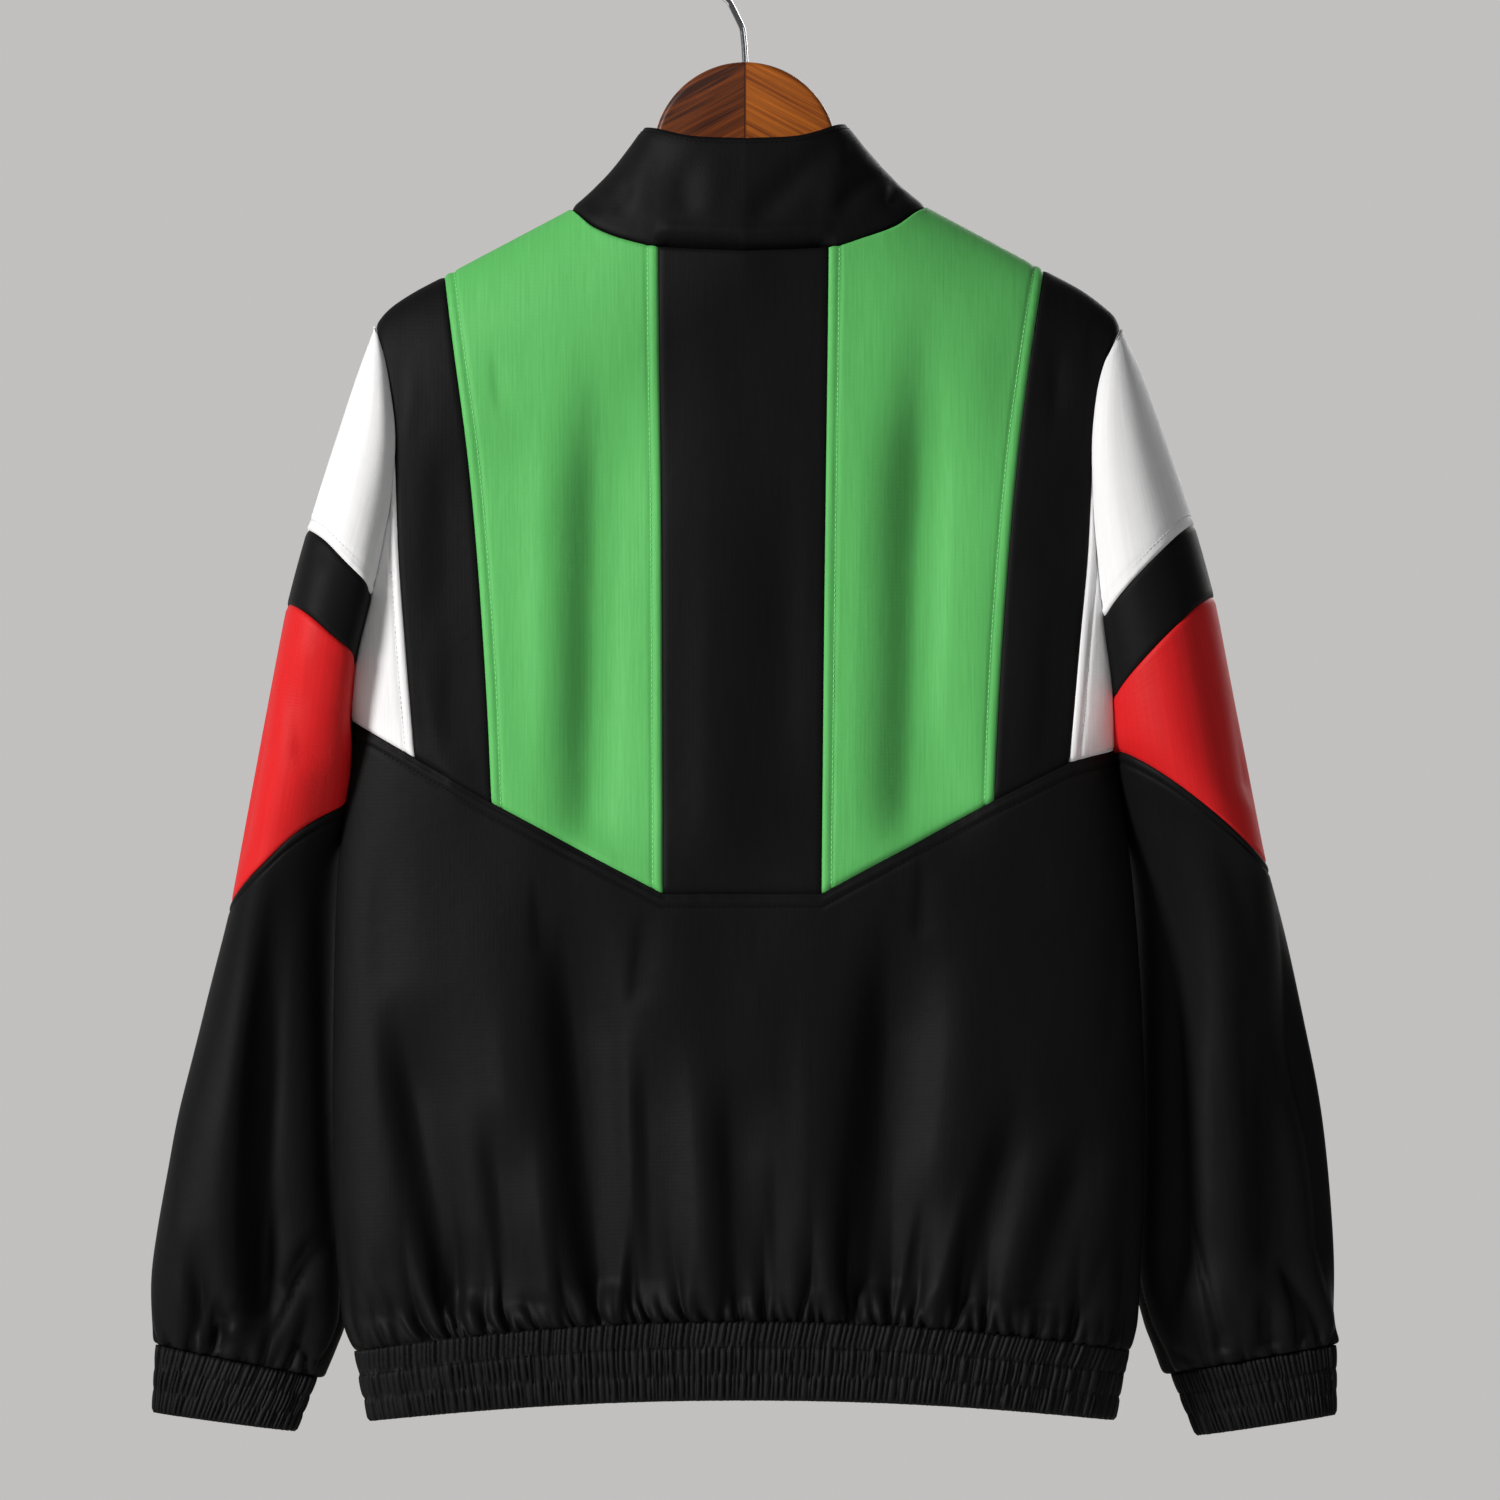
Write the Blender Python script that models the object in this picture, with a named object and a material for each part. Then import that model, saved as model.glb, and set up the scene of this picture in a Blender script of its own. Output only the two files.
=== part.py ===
"""A windbreaker on a wooden hanger, modelled in metres with +Z up.

The front faces -Y, the back faces +Y and the wearer's left is at +X. The origin is the inside top of the
hook's bend, where a rail would carry the hanger. The tables are in millimetres, and MM turns them into metres.

Every cloth piece is a panel: rows of points on the garment's outer surface, thickened inwards. Neighbours
share the same points along their seam, and each is then drawn back by half of SEAM_GAP.
"""

import math

import bmesh
import bpy
import numpy as np

MM = 0.001
LEFT, RIGHT = 1, 2  # the table column of each side

# Cloth
WALL = 1.5
DOUBLE_WALL = 3.0  # collar, cuffs and hem band are doubled
SEAM_GAP = 0.3
GATHERS_PER_QUARTER = 17  # hem gathers from the side seam to the centre, one under each column of the body
POINTS_PER_GATHER = 3
GATHER_DEPTH = 2.6
HEM_RIB = 1.0
CUFF_RIBS = 16
CUFF_RIB = 0.8

# Body: how round it is
SHOULDER_ROUND = 110.0  # how far below the shoulder line the body reaches its full depth
ARMHOLE_DEPTH = 28.0
FRONT_OPENING = 6.0  # from the centre line to the edge of each front
HEM_BAND_CENTRE = (-825.0, -872.4)
HEM_BAND_DROP = (18.6, 14.4)  # how much lower the band's edges lie at the sides

# Zip
TAPE_WIDTH = 16.0
TAPE_WALL = 1.0
CHAIN_WIDTH = 5.6
CHAIN_WALL = 2.4
COLLAR_CLEARANCE = 0.8  # between the tapes and the collar, which curves away from them
ZIP_TOP_GAP = 7.0  # from the collar's top edge to the end of the chain

# Hanger
WOOD = 14.0
WOOD_ROUND = 4.0
ARCH_RADIUS = 55.0
ARCH_CENTRE_Z = -127.0
WIRE = 3.8
HOOK_RADIUS = 20.0
ARM_DROP = 1.9  # from the shoulder's inner ridge to the arm's flat top, so that the arm just clears the cloth

# columns: x, z on the left, z on the right
SHOULDER_LINE = (
    (0.0, -103.0, -103.0),
    (106.0, -160.4, -157.0),
    (179.0, -199.0, -196.0),
    (203.0, -212.0, -209.0),
    (215.0, -221.0, -218.0),
    (221.4, -229.8, -224.0),
    (225.0, -238.0, -231.6),
)
TIP = (None, (221.4, -229.8), (225.0, -231.6))
UNDERARM = (None, (237.0, -465.6), (222.0, -483.6))
NECK_POINT = (None, 104.4, 108.6)

# columns: share of the way from the tip to the underarm, x on the left, x on the right
ARMHOLE = (
    (0.00, 221.4, 225.0),
    (0.07, 217.0, 216.5),
    (0.14, 213.6, 211.4),
    (0.29, 209.6, 207.8),
    (0.42, 211.6, 208.6),
    (0.55, 217.0, 211.4),
    (0.70, 224.6, 215.0),
    (0.86, 233.6, 220.4),
    (1.00, 237.0, 222.0),
)

# columns: z, x on the left, x on the right
BODY_SIDE = (
    (-887.0, 225.0, 219.6),
    (-843.6, 232.0, 226.6),
    (-815.0, 238.5, 233.0),
    (-797.0, 241.5, 234.8),
    (-755.0, 246.0, 236.6),
    (-695.0, 247.8, 237.0),
    (-635.0, 247.2, 236.6),
    (-563.0, 245.2, 232.4),
    (-522.0, 241.2, 227.5),
    (-483.6, 238.2, 222.0),
    (-465.6, 237.0, 220.0),
)

# columns: z, half depth of the body
BODY_DEPTH = (
    (-887.0, 39.0),
    (-843.0, 42.0),
    (-825.0, 42.0),
    (-805.0, 49.0),
    (-760.0, 52.0),
    (-640.0, 49.0),
    (-466.0, 45.0),
    (-100.0, 45.0),
)

# columns: z, x on the left, x on the right
CENTRE_SEAM = ((-569.0, 49.2, 45.6), (-420.0, 49.8, 47.0), (-183.0, 52.0, 50.0))
STRIP_SEAM = (
    (-515.0, 151.2, 148.2),
    (-451.8, 154.2, 151.2),
    (-379.8, 159.0, 156.0),
    (-307.8, 165.6, 162.6),
    (-235.8, 175.2, 172.2),
    (-195.0, 180.6, 179.0),
)
WHITE_SEAM = (
    (-489.0, 197.4, 194.0),
    (-415.8, 203.4, 200.4),
    (-361.8, 207.4, 205.2),
    (-298.0, 209.6, 207.8),
)
# The yoke seam's corners. columns: x on the left, z there, x on the right, z there
YOKE = (
    (49.2, -568.8, 45.6, -568.8),
    (151.2, -514.8, 148.2, -513.6),
    (197.4, -487.8, 194.0, -490.8),
    (237.0, -465.6, 222.0, -483.6),
)

# columns: x, z on the left, z on the right
BACK_NECKLINE = (
    (0.0, -186.0, -186.0),
    (52.0, -183.0, -183.0),
    (72.0, -178.5, -177.0),
    (90.0, -171.0, -170.0),
    (104.4, -159.6, -160.0),
    (108.6, -158.0, -158.4),
)
FRONT_NECKLINE = (
    (0.0, -240.0, -240.0),
    (30.0, -236.0, -236.0),
    (56.0, -226.0, -226.0),
    (80.0, -207.0, -207.0),
    (96.0, -184.0, -184.0),
    (104.4, -159.6, -172.0),
    (108.6, -150.0, -158.4),
)

# Large folds of the back.
# columns: x at the top, x at the bottom, z of the top, z of the bottom, width, depth
BACK_FOLDS = (
    (98.0, 104.0, -235.0, -548.0, 26.0, 6.0),
    (151.0, 150.0, -225.0, -300.0, 16.0, 2.0),
    (-98.0, -86.0, -212.0, -540.0, 32.0, 7.0),
    (-147.0, -148.0, -215.0, -285.0, 16.0, 2.0),
    (0.0, 4.0, -300.0, -565.0, 44.0, 4.0),
    (187.0, 186.0, -262.0, -390.0, 14.0, 2.5),
    (120.0, 97.0, -562.0, -823.0, 26.0, 8.0),
    (219.0, 181.0, -640.0, -824.0, 22.0, 6.0),
    (160.0, 140.0, -710.0, -824.0, 18.0, 4.0),
    (66.0, 60.0, -660.0, -823.0, 16.0, 4.0),
    (15.0, 11.0, -690.0, -822.0, 18.0, 4.0),
    (-80.0, -61.0, -566.0, -823.0, 32.0, 8.0),
    (-160.0, -119.0, -690.0, -823.0, 18.0, 4.5),
    (-198.0, -160.0, -700.0, -824.0, 20.0, 4.5),
)
# Large folds of the front, uneven in the same way. The columns are the same.
FRONT_FOLDS = (
    (92.0, 99.0, -260.0, -540.0, 26.0, 5.0),
    (-104.0, -92.0, -250.0, -552.0, 22.0, 5.0),
    (-150.0, -147.0, -225.0, -330.0, 16.0, 2.0),
    (128.0, 118.0, -580.0, -815.0, 24.0, 5.0),
    (196.0, 178.0, -640.0, -822.0, 22.0, 4.0),
    (60.0, 58.0, -710.0, -822.0, 18.0, 3.0),
    (-96.0, -84.0, -590.0, -822.0, 26.0, 5.0),
    (-150.0, -139.0, -700.0, -822.0, 18.0, 4.0),
    (-204.0, -188.0, -620.0, -815.0, 20.0, 4.0),
)

# columns: z, x of the sleeve's outer edge on the left, on the right
SLEEVE_OUTER = (
    (-883.0, 355.8, 354.6),
    (-841.0, 354.0, 354.6),
    (-825.0, 356.5, 357.0),
    (-808.0, 357.0, 356.8),
    (-756.0, 349.8, 353.2),
    (-704.0, 339.6, 347.4),
    (-627.0, 321.5, 331.8),
    (-575.0, 308.5, 318.5),
    (-552.0, 304.2, 312.0),
    (-500.0, 294.3, 301.6),
    (-440.0, 282.9, 289.8),
    (-398.0, 274.9, 281.8),
    (-352.0, 262.6, 269.4),
    (-283.0, 240.2, 246.2),
    (-253.0, 230.0, 235.2),
    (-231.6, 222.0, 225.0),
    (-229.8, 221.4, 224.2),
)
# columns: z, x of the sleeve's inner edge on the left, on the right, below the underarm
SLEEVE_INNER = (
    (-895.2, 271.8, 271.2),
    (-860.0, 257.2, 256.8),
    (-842.0, 247.6, 247.6),
    (-826.0, 241.4, 240.6),
    (-793.0, 240.4, 233.6),
    (-742.0, 242.8, 234.0),
    (-685.0, 244.0, 234.4),
    (-598.0, 242.8, 232.4),
    (-570.0, 241.4, 230.4),
    (-515.0, 238.6, 225.0),
    (-483.6, 238.0, 222.0),
    (-465.6, 237.0, 220.0),
)
# The sleeve's rows. A row runs from the inner line round the outer edge and back. Its place on the inner line
# is the armhole share down to the underarm at 1, and then 1 more for each 100 mm further down.
# columns: place, z at the outer edge, half depth, shift to the front, how far the row bows upwards
SLEEVE_ROWS = (
    None,
    (
        (0.00, -229.8, 0.0, 0.0, 0.0),
        (0.12, -253.0, 6.0, 0.0, 1.0),
        (0.29, -283.5, 10.0, 0.0, 3.0),
        (0.55, -330.0, 17.0, 0.0, 5.0),
        (0.682, -352.8, 22.0, 0.0, 6.0),
        (0.857, -397.8, 31.0, 0.0, 7.0),
        (1.00, -441.0, 39.0, 0.0, 7.0),
        (1.49, -575.4, 46.0, -22.0, 8.0),
        (2.20, -642.0, 47.0, -36.0, 5.0),
        (3.20, -722.0, 46.0, -38.0, 3.0),
        (4.10, -787.0, 41.0, -38.0, 1.0),
        (4.60, -817.0, 31.0, -38.0, 0.0),
        (4.80, -830.0, 22.0, -38.0, 0.0),
        (4.948, -840.6, 14.0, -38.0, 0.0),
    ),
    (
        (0.00, -231.6, 0.0, 0.0, 0.0),
        (0.12, -255.0, 6.0, 0.0, 1.0),
        (0.29, -284.0, 10.0, 0.0, 3.0),
        (0.55, -327.0, 17.0, 0.0, 5.0),
        (0.683, -349.8, 22.0, 0.0, 6.0),
        (0.874, -393.0, 31.0, 0.0, 7.0),
        (1.02, -552.0, 42.0, -1.0, 8.0),
        (1.32, -570.0, 44.0, -15.0, 7.5),
        (1.86, -601.0, 46.0, -28.0, 6.0),
        (2.15, -627.0, 46.0, -32.0, 5.0),
        (3.00, -688.0, 46.0, -36.0, 3.0),
        (3.80, -757.0, 43.0, -37.0, 2.0),
        (4.35, -804.0, 36.0, -35.0, 1.0),
        (4.58, -825.0, 24.0, -34.0, 0.0),
        (4.744, -840.6, 14.0, -33.0, 0.0),
    ),
)
# Shared places along the armhole, from the tip to the underarm
ARMHOLE_STEPS = (
    None,
    (0.0, 0.02, 0.07, 0.14, 0.29, 0.42, 0.55, 0.682, 0.77, 0.857, 0.93, 1.0),
    (0.0, 0.02, 0.07, 0.14, 0.29, 0.42, 0.55, 0.683, 0.78, 0.874, 0.94, 1.0),
)
SHOULDER_STEPS = 4  # steps of the armhole above the white side panel
CAP_STEPS = 7  # steps down to the white and black seam
BAND_STEPS = 9  # steps down to the black and red seam
RED_STEPS_BELOW = (None, (1.16, 1.32, 1.49), (1.02,))
LOWER_STEPS = (
    None,
    (1.49, 1.85, 2.3, 2.9, 3.5, 4.0, 4.35, 4.6, 4.8, 4.948),
    (1.02, 1.5, 2.0, 2.6, 3.2, 3.75, 4.15, 4.4, 4.58, 4.744),
)
SLEEVE_POINTS = 19
SEAM_SHARES = (0.0, 0.008, 0.035, 0.09, 0.17, 0.28, 0.42, 0.58, 0.73, 0.87, 0.94, 1.0)

# Large folds of the sleeves: long troughs. columns: angle round the sleeve in degrees from the inner edge over
# the back, place of the top, place of the bottom, width in degrees, depth
SLEEVE_FOLDS = (
    None,
    ((88.0, 1.6, 4.7, 30.0, 4.0), (232.0, 1.9, 4.6, 34.0, 4.0), (300.0, 2.4, 4.7, 26.0, 3.0)),
    ((80.0, 2.2, 4.6, 30.0, 4.0), (118.0, 1.1, 2.2, 28.0, 3.0), (250.0, 1.6, 4.5, 34.0, 4.0)),
)

# Collar. columns: share of the way from the back centre to the front centre, x, y and z of the top edge
COLLAR_TOP = (
    (0.00, 0.0, 37.0, -119.4),
    (0.16, 30.0, 35.0, -117.8),
    (0.30, 53.0, 24.0, -114.0),
    (0.40, 61.0, 8.0, -113.2),
    (0.55, 61.5, -14.0, -121.0),
    (0.72, 50.0, -36.0, -141.0),
    (0.88, 24.0, -50.0, -160.0),
    (1.00, 0.0, -53.0, -168.0),
)
COLLAR_ROWS = (0.0, 0.28, 0.62, 1.0)
COLLAR_SAG = 3.0


# --- Tools ----------------------------------------------------------------------------------------


def clear_scene():
    for item in list(bpy.data.objects):
        bpy.data.objects.remove(item, do_unlink=True)


def material(name, colour, roughness, metallic=0.0):
    found = bpy.data.materials.new(name)
    found.use_nodes = True
    shader = found.node_tree.nodes["Principled BSDF"]
    shader.inputs["Base Color"].default_value = (*colour, 1.0)
    shader.inputs["Roughness"].default_value = roughness
    shader.inputs["Metallic"].default_value = metallic
    found.diffuse_color = (*colour, 1.0)
    return found


def curve(rows, at, column=1):
    """Read a smooth line through a table's rows, which never swings past its neighbours."""
    table = np.array([(row[0], row[column]) for row in rows], dtype=float)
    table = table[np.argsort(table[:, 0])]
    place, value = table[:, 0], table[:, 1]
    step = np.diff(place)
    slope = np.diff(value) / step
    tangent = np.zeros(len(place))
    tangent[0], tangent[-1] = slope[0], slope[-1]
    for i in range(1, len(place) - 1):
        if slope[i - 1] * slope[i] > 0:
            before, after = 2 * step[i] + step[i - 1], step[i] + 2 * step[i - 1]
            tangent[i] = (before + after) / (before / slope[i - 1] + after / slope[i])
    at = np.clip(np.asarray(at, dtype=float), place[0], place[-1])
    i = np.clip(np.searchsorted(place, at) - 1, 0, len(step) - 1)
    t = (at - place[i]) / step[i]
    ease = t * t * (3 - 2 * t)
    bend_in = t * (1 - t) ** 2 * step[i] * tangent[i]
    bend_out = t * t * (1 - t) * step[i] * tangent[i + 1]
    return value[i] * (1 - ease) + value[i + 1] * ease + bend_in - bend_out


def by_side(x, read):
    """Read a table on the side that x lies on."""
    return np.where(x >= 0, read(LEFT), read(RIGHT))


def sign(side):
    return 1.0 if side == LEFT else -1.0


# --- The body's surface ---------------------------------------------------------------------------


def armhole_share(side, z):
    top, bottom = TIP[side][1], UNDERARM[side][1]
    return np.clip((top - z) / (top - bottom), 0.0, 1.0)


def armhole_point(side, share):
    z = TIP[side][1] + share * (UNDERARM[side][1] - TIP[side][1])
    return np.stack([sign(side) * curve(ARMHOLE, share, side), z], axis=-1)


def half_width(side, z):
    share = armhole_share(side, z)
    return np.where(z >= UNDERARM[side][1], curve(ARMHOLE, share, side), curve(BODY_SIDE, z, side))


def body_depth(x, z):
    """How far the body's smooth surface lies from the middle plane."""
    below = by_side(x, lambda side: curve(SHOULDER_LINE, abs(x), side)) - z
    over = 1 - np.clip(below, 0.0, SHOULDER_ROUND) / SHOULDER_ROUND
    round_over = np.sqrt(np.clip(1 - over * over, 0.0, 1.0))
    share = by_side(x, lambda side: armhole_share(side, z))
    across = np.clip(abs(x) / by_side(x, lambda side: half_width(side, z)), 0.0, 1.0)
    at_seam = ARMHOLE_DEPTH * np.sqrt(1 - share**3)
    edge = (1 - across**3) ** (1 - 0.5 * share * share)
    return round_over * (at_seam + (curve(BODY_DEPTH, z) - at_seam) * edge)


def fold_depth(folds, x, z):
    """The troughs of a fold table, fading out at both ends and towards the garment's edges."""
    total = np.zeros_like(x)
    for x_top, x_bottom, z_top, z_bottom, width, depth in folds:
        along = np.clip((z_top - z) / (z_top - z_bottom), 0.0, 1.0)
        centre = x_top + (x_bottom - x_top) * along
        fade = np.sin(math.pi * along) ** 0.6
        total += depth * fade * np.exp(-(((x - centre) / (0.5 * width)) ** 2))
    width = by_side(x, lambda side: half_width(side, z))
    return total * np.clip((1 - abs(x) / width) * 8, 0.0, 1.0)


def body_point(face, flat):
    """Lift points of the flat (x, z) layout to the back (face +1) or the front (face -1)."""
    x, z = flat[..., 0], flat[..., 1]
    folds = BACK_FOLDS if face > 0 else FRONT_FOLDS
    depth = body_depth(x, z) - fold_depth(folds, x, z) * np.clip(body_depth(x, z) / 30, 0.0, 1.0)
    return np.stack([x, face * depth, z], axis=-1)


def coons(top, bottom, left, right):
    """Fill four flat edges with rows of points. Each edge is a list, and they share their corners."""
    top, bottom, left, right = (np.asarray(edge, dtype=float) for edge in (top, bottom, left, right))

    def shares(first, second):
        total = np.zeros(len(first))
        for edge in (first, second):
            run = np.concatenate([[0.0], np.cumsum(np.linalg.norm(np.diff(edge, axis=0), axis=1))])
            total += run / run[-1] if run[-1] > 0 else 0.0
        return total / total[-1]

    u = shares(top, bottom)[None, :, None]
    v = shares(left, right)[:, None, None]
    sides = (1 - u) * left[:, None] + u * right[:, None]
    ends = (1 - v) * top[None] + v * bottom[None]
    corners = (1 - v) * ((1 - u) * top[0] + u * top[-1]) + v * ((1 - u) * bottom[0] + u * bottom[-1])
    return sides + ends - corners


def line(start, end, shares):
    start, end = np.asarray(start, dtype=float), np.asarray(end, dtype=float)
    return start + (end - start) * np.asarray(shares, dtype=float)[:, None]


def seam_line(rows, side, z_top, z_bottom, shares=SEAM_SHARES):
    z = z_top + (z_bottom - z_top) * np.asarray(shares)
    return np.stack([sign(side) * curve(rows, z, side), z], axis=-1)


# --- Panels ---------------------------------------------------------------------------------------


class Panel:
    """One piece of cloth: rows of points on its outer side, a wall and a point on its inner side."""

    def __init__(self, name, rows, inside, look, wall=WALL, rib=None, gap=SEAM_GAP):
        self.name = name
        self.rows = [np.asarray(row, dtype=float) for row in rows]
        self.inside = np.asarray(inside, dtype=float)
        self.look = look
        self.wall = wall
        self.rib = rib
        self.gap = gap
        self.pole = len(self.rows[0]) > 1 and np.ptp(self.rows[0], axis=0).max() < 1e-6
        if self.pole:
            self.rows[0] = self.rows[0][:1]
        self.starts = np.concatenate([[0], np.cumsum([len(row) for row in self.rows])])
        self.points = np.concatenate(self.rows)
        self.faces = self.build_faces()
        self.normals = self.build_normals()

    def at(self, row, column):
        return int(self.starts[row] + column)

    def build_faces(self):
        faces = []
        for row in range(len(self.rows) - 1):
            wide, fine = len(self.rows[row]) - 1, len(self.rows[row + 1]) - 1
            if wide == 0:
                faces += [(self.at(0, 0), self.at(1, i), self.at(1, i + 1)) for i in range(fine)]
                continue
            split = fine // wide
            for i in range(wide):
                first, last = self.at(row, i), self.at(row, i + 1)
                below = [self.at(row + 1, split * i + j) for j in range(split + 1)]
                if split == 1:
                    faces.append((first, below[0], below[1], last))
                    continue
                middle = split // 2
                for j in range(split):
                    faces.append((first if j < middle or j == 0 else last, below[j], below[j + 1]))
                turn = max(middle, 1)
                faces.append((first, below[turn], last))
        return faces

    def build_normals(self):
        normals = np.zeros_like(self.points)
        for face in self.faces:
            corners = self.points[list(face)]
            across = np.cross(corners[2] - corners[0], corners[-1] - corners[1])
            if len(face) == 3:
                across = np.cross(corners[1] - corners[0], corners[2] - corners[0])
            for index in face:
                normals[index] += across
        lengths = np.linalg.norm(normals, axis=1, keepdims=True)
        normals /= np.maximum(lengths, 1e-9)
        row = len(self.rows) // 2
        middle = self.at(row, len(self.rows[row]) // 2)
        if np.dot(normals[middle], self.points[middle] - self.inside) < 0:
            normals = -normals
            self.faces = [tuple(reversed(face)) for face in self.faces]
        return normals

    def rim(self):
        """The outline's point numbers, in order: down the first column, along the last row, up and back."""
        last = len(self.rows) - 1
        down = [self.at(row, 0) for row in range(last)]
        along = [self.at(last, i) for i in range(len(self.rows[last]))]
        up = [self.at(row, len(self.rows[row]) - 1) for row in range(last - 1, 0, -1)]
        back = [self.at(0, i) for i in range(len(self.rows[0]) - 1, 0, -1)] if not self.pole else []
        if not self.pole:
            up.append(self.at(0, len(self.rows[0]) - 1))
            back = back[1:]
        return down + along + up + back

    def border(self, side):
        """One side's point numbers, each with the number of the point next to it inside the panel."""
        last = len(self.rows) - 1
        counts = [len(row) for row in self.rows]
        start = 1 if self.pole else 0
        if side in ("first", "end"):
            outer, inner = (0, 1) if side == "first" else (-1, -2)
            rows = range(start, last + 1)
            return [(self.at(r, outer % counts[r]), self.at(r, inner % counts[r])) for r in rows]
        row, beside = (0, 1) if side == "top" else (last, last - 1)
        ratio = (counts[beside] - 1) / max(counts[row] - 1, 1)
        return [(self.at(row, i), self.at(beside, round(i * ratio))) for i in range(counts[row])]

    def drawn_back(self):
        """The points with the outline drawn back from each seam by half of the gap."""
        points = self.points.copy()
        half = 0.5 * self.gap
        for side in ("first", "end", "bottom") if self.pole else ("first", "end", "top", "bottom"):
            border = self.border(side)
            for i, (index, inner) in enumerate(border):
                before, after = border[max(i - 1, 0)][0], border[min(i + 1, len(border) - 1)][0]
                way = self.points[inner] - self.points[index]
                for axis in (self.points[after] - self.points[before], self.normals[index]):
                    axis = axis / max(np.linalg.norm(axis), 1e-9)
                    way = way - np.dot(way, axis) * axis
                points[index] += half * way / max(np.linalg.norm(way), 1e-9)
        if self.pole:
            first, end = self.points[self.at(1, 0)], self.points[self.at(1, len(self.rows[1]) - 1)]
            tip = self.points[0]
            one = (first - tip) / np.linalg.norm(first - tip)
            other = (end - tip) / np.linalg.norm(end - tip)
            half_angle = 0.5 * math.acos(float(np.clip(np.dot(one, other), -1.0, 1.0)))
            middle = self.points[self.at(1, len(self.rows[1]) // 2)] - tip
            points[0] += half / max(math.sin(half_angle), 0.05) * middle / np.linalg.norm(middle)
        return points

    def build(self):
        outer = self.drawn_back()
        inner = outer - self.wall * self.normals
        if self.rib is not None:
            outer = outer + self.normals * np.asarray(self.rib, dtype=float)[:, None]
        count = len(outer)
        faces = list(self.faces)
        faces += [tuple(index + count for index in reversed(face)) for face in self.faces]
        rim = self.rim()
        edges = set()
        for face in self.faces:
            edges.update(zip(face, face[1:] + face[:1]))
        for here, there in zip(rim, rim[1:] + rim[:1]):
            if (here, there) in edges:
                here, there = there, here
            # both neighbours of a seam split their rims the same way
            if tuple(np.round(self.points[here], 2)) < tuple(np.round(self.points[there], 2)):
                faces += [(here, there, there + count), (here, there + count, here + count)]
            else:
                faces += [(here, there, here + count), (there, there + count, here + count)]
        mesh = bpy.data.meshes.new(self.name)
        mesh.from_pydata((np.concatenate([outer, inner]) * MM).tolist(), [], faces)
        made = bpy.data.objects.new(self.name, mesh)
        bpy.context.collection.objects.link(made)
        mesh.materials.append(self.look)
        mesh.shade_smooth()
        mesh.set_sharp_from_angle(angle=math.radians(50))
        return made


def share_seam_normals(panels):
    """Give points that panels share one normal, so that their walls stand side by side."""
    together = {}
    for panel in panels:
        for index in panel.rim():
            together.setdefault(tuple(np.round(panel.points[index], 2)), []).append((panel, index))
    for group in together.values():
        if len(group) > 1:
            total = sum(panel.normals[index] for panel, index in group)
            total = total / max(np.linalg.norm(total), 1e-9)
            for panel, index in group:
                panel.normals[index] = total


# --- Upper body -----------------------------------------------------------------------------------


def neck_z(face, side, x):
    return curve(BACK_NECKLINE if face > 0 else FRONT_NECKLINE, abs(np.asarray(x)), side)


def neck_points(face, side, x_from, x_to, count):
    """Points along the neckline. The last one meets the shoulder line where x_to is the neck point."""
    x = np.linspace(x_from, x_to, count)
    return np.stack([sign(side) * x, neck_z(face, side, x)], axis=-1)


def yoke_point(side, corner):
    row = YOKE[corner]
    return np.array([sign(side) * row[0 if side == LEFT else 2], row[1 if side == LEFT else 3]])


def upper_layout(face, side):
    """The flat layout of half of the upper back or front: {piece: (top, bottom, inner, outer edge)}."""
    s = sign(side)
    centre_top = np.array([s * curve(CENTRE_SEAM, -183.0, side), 0.0])
    centre_top[1] = neck_z(face, side, abs(centre_top[0]))
    neck = np.array([s * NECK_POINT[side], curve(SHOULDER_LINE, NECK_POINT[side], side)])
    strip_x = curve(STRIP_SEAM, -197.0, side)
    strip_top = np.array([s * strip_x, curve(SHOULDER_LINE, strip_x, side)])
    steps = np.array(ARMHOLE_STEPS[side])
    centre_bottom, strip_bottom, white_bottom = (yoke_point(side, i) for i in range(3))
    centre_edge = seam_line(CENTRE_SEAM, side, centre_top[1], centre_bottom[1])
    strip_edge = seam_line(STRIP_SEAM, side, strip_top[1], strip_bottom[1])
    strip_edge[0], strip_edge[-1], centre_edge[-1] = strip_top, strip_bottom, centre_bottom
    centre_edge[0] = centre_top
    armhole = armhole_point(side, steps)
    white_top = armhole[SHOULDER_STEPS]
    below = (steps[SHOULDER_STEPS:] - steps[SHOULDER_STEPS]) / (1 - steps[SHOULDER_STEPS])
    white_edge = seam_line(WHITE_SEAM, side, white_top[1], white_bottom[1], below)
    white_edge[0], white_edge[-1] = white_top, white_bottom
    neck_run = neck_points(face, side, abs(centre_top[0]), NECK_POINT[side], 5)
    neck_run[-1] = neck
    shoulder_x = np.linspace(NECK_POINT[side], strip_x, 5)[1:]
    shoulder_run = np.stack([s * shoulder_x, curve(SHOULDER_LINE, shoulder_x, side)], axis=-1)
    tip_x = np.linspace(strip_x, TIP[side][0], 5)
    tip_run = np.stack([s * tip_x, curve(SHOULDER_LINE, tip_x, side)], axis=-1)
    tip_run[-1] = armhole[0]
    layout = {
        "green": (
            np.concatenate([neck_run, shoulder_run]),
            line(centre_bottom, strip_bottom, np.linspace(0, 1, 9)),
            centre_edge,
            strip_edge,
        ),
        "strip": (
            tip_run,
            line(strip_bottom, white_bottom, np.linspace(0, 1, 5)),
            strip_edge,
            np.concatenate([armhole[: SHOULDER_STEPS + 1], white_edge[1:]]),
        ),
        "white": (
            np.repeat(white_top[None], 3, axis=0),
            line(white_bottom, armhole[-1], np.linspace(0, 1, 3)),
            white_edge,
            armhole[SHOULDER_STEPS:],
        ),
    }
    return layout, centre_edge


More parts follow.
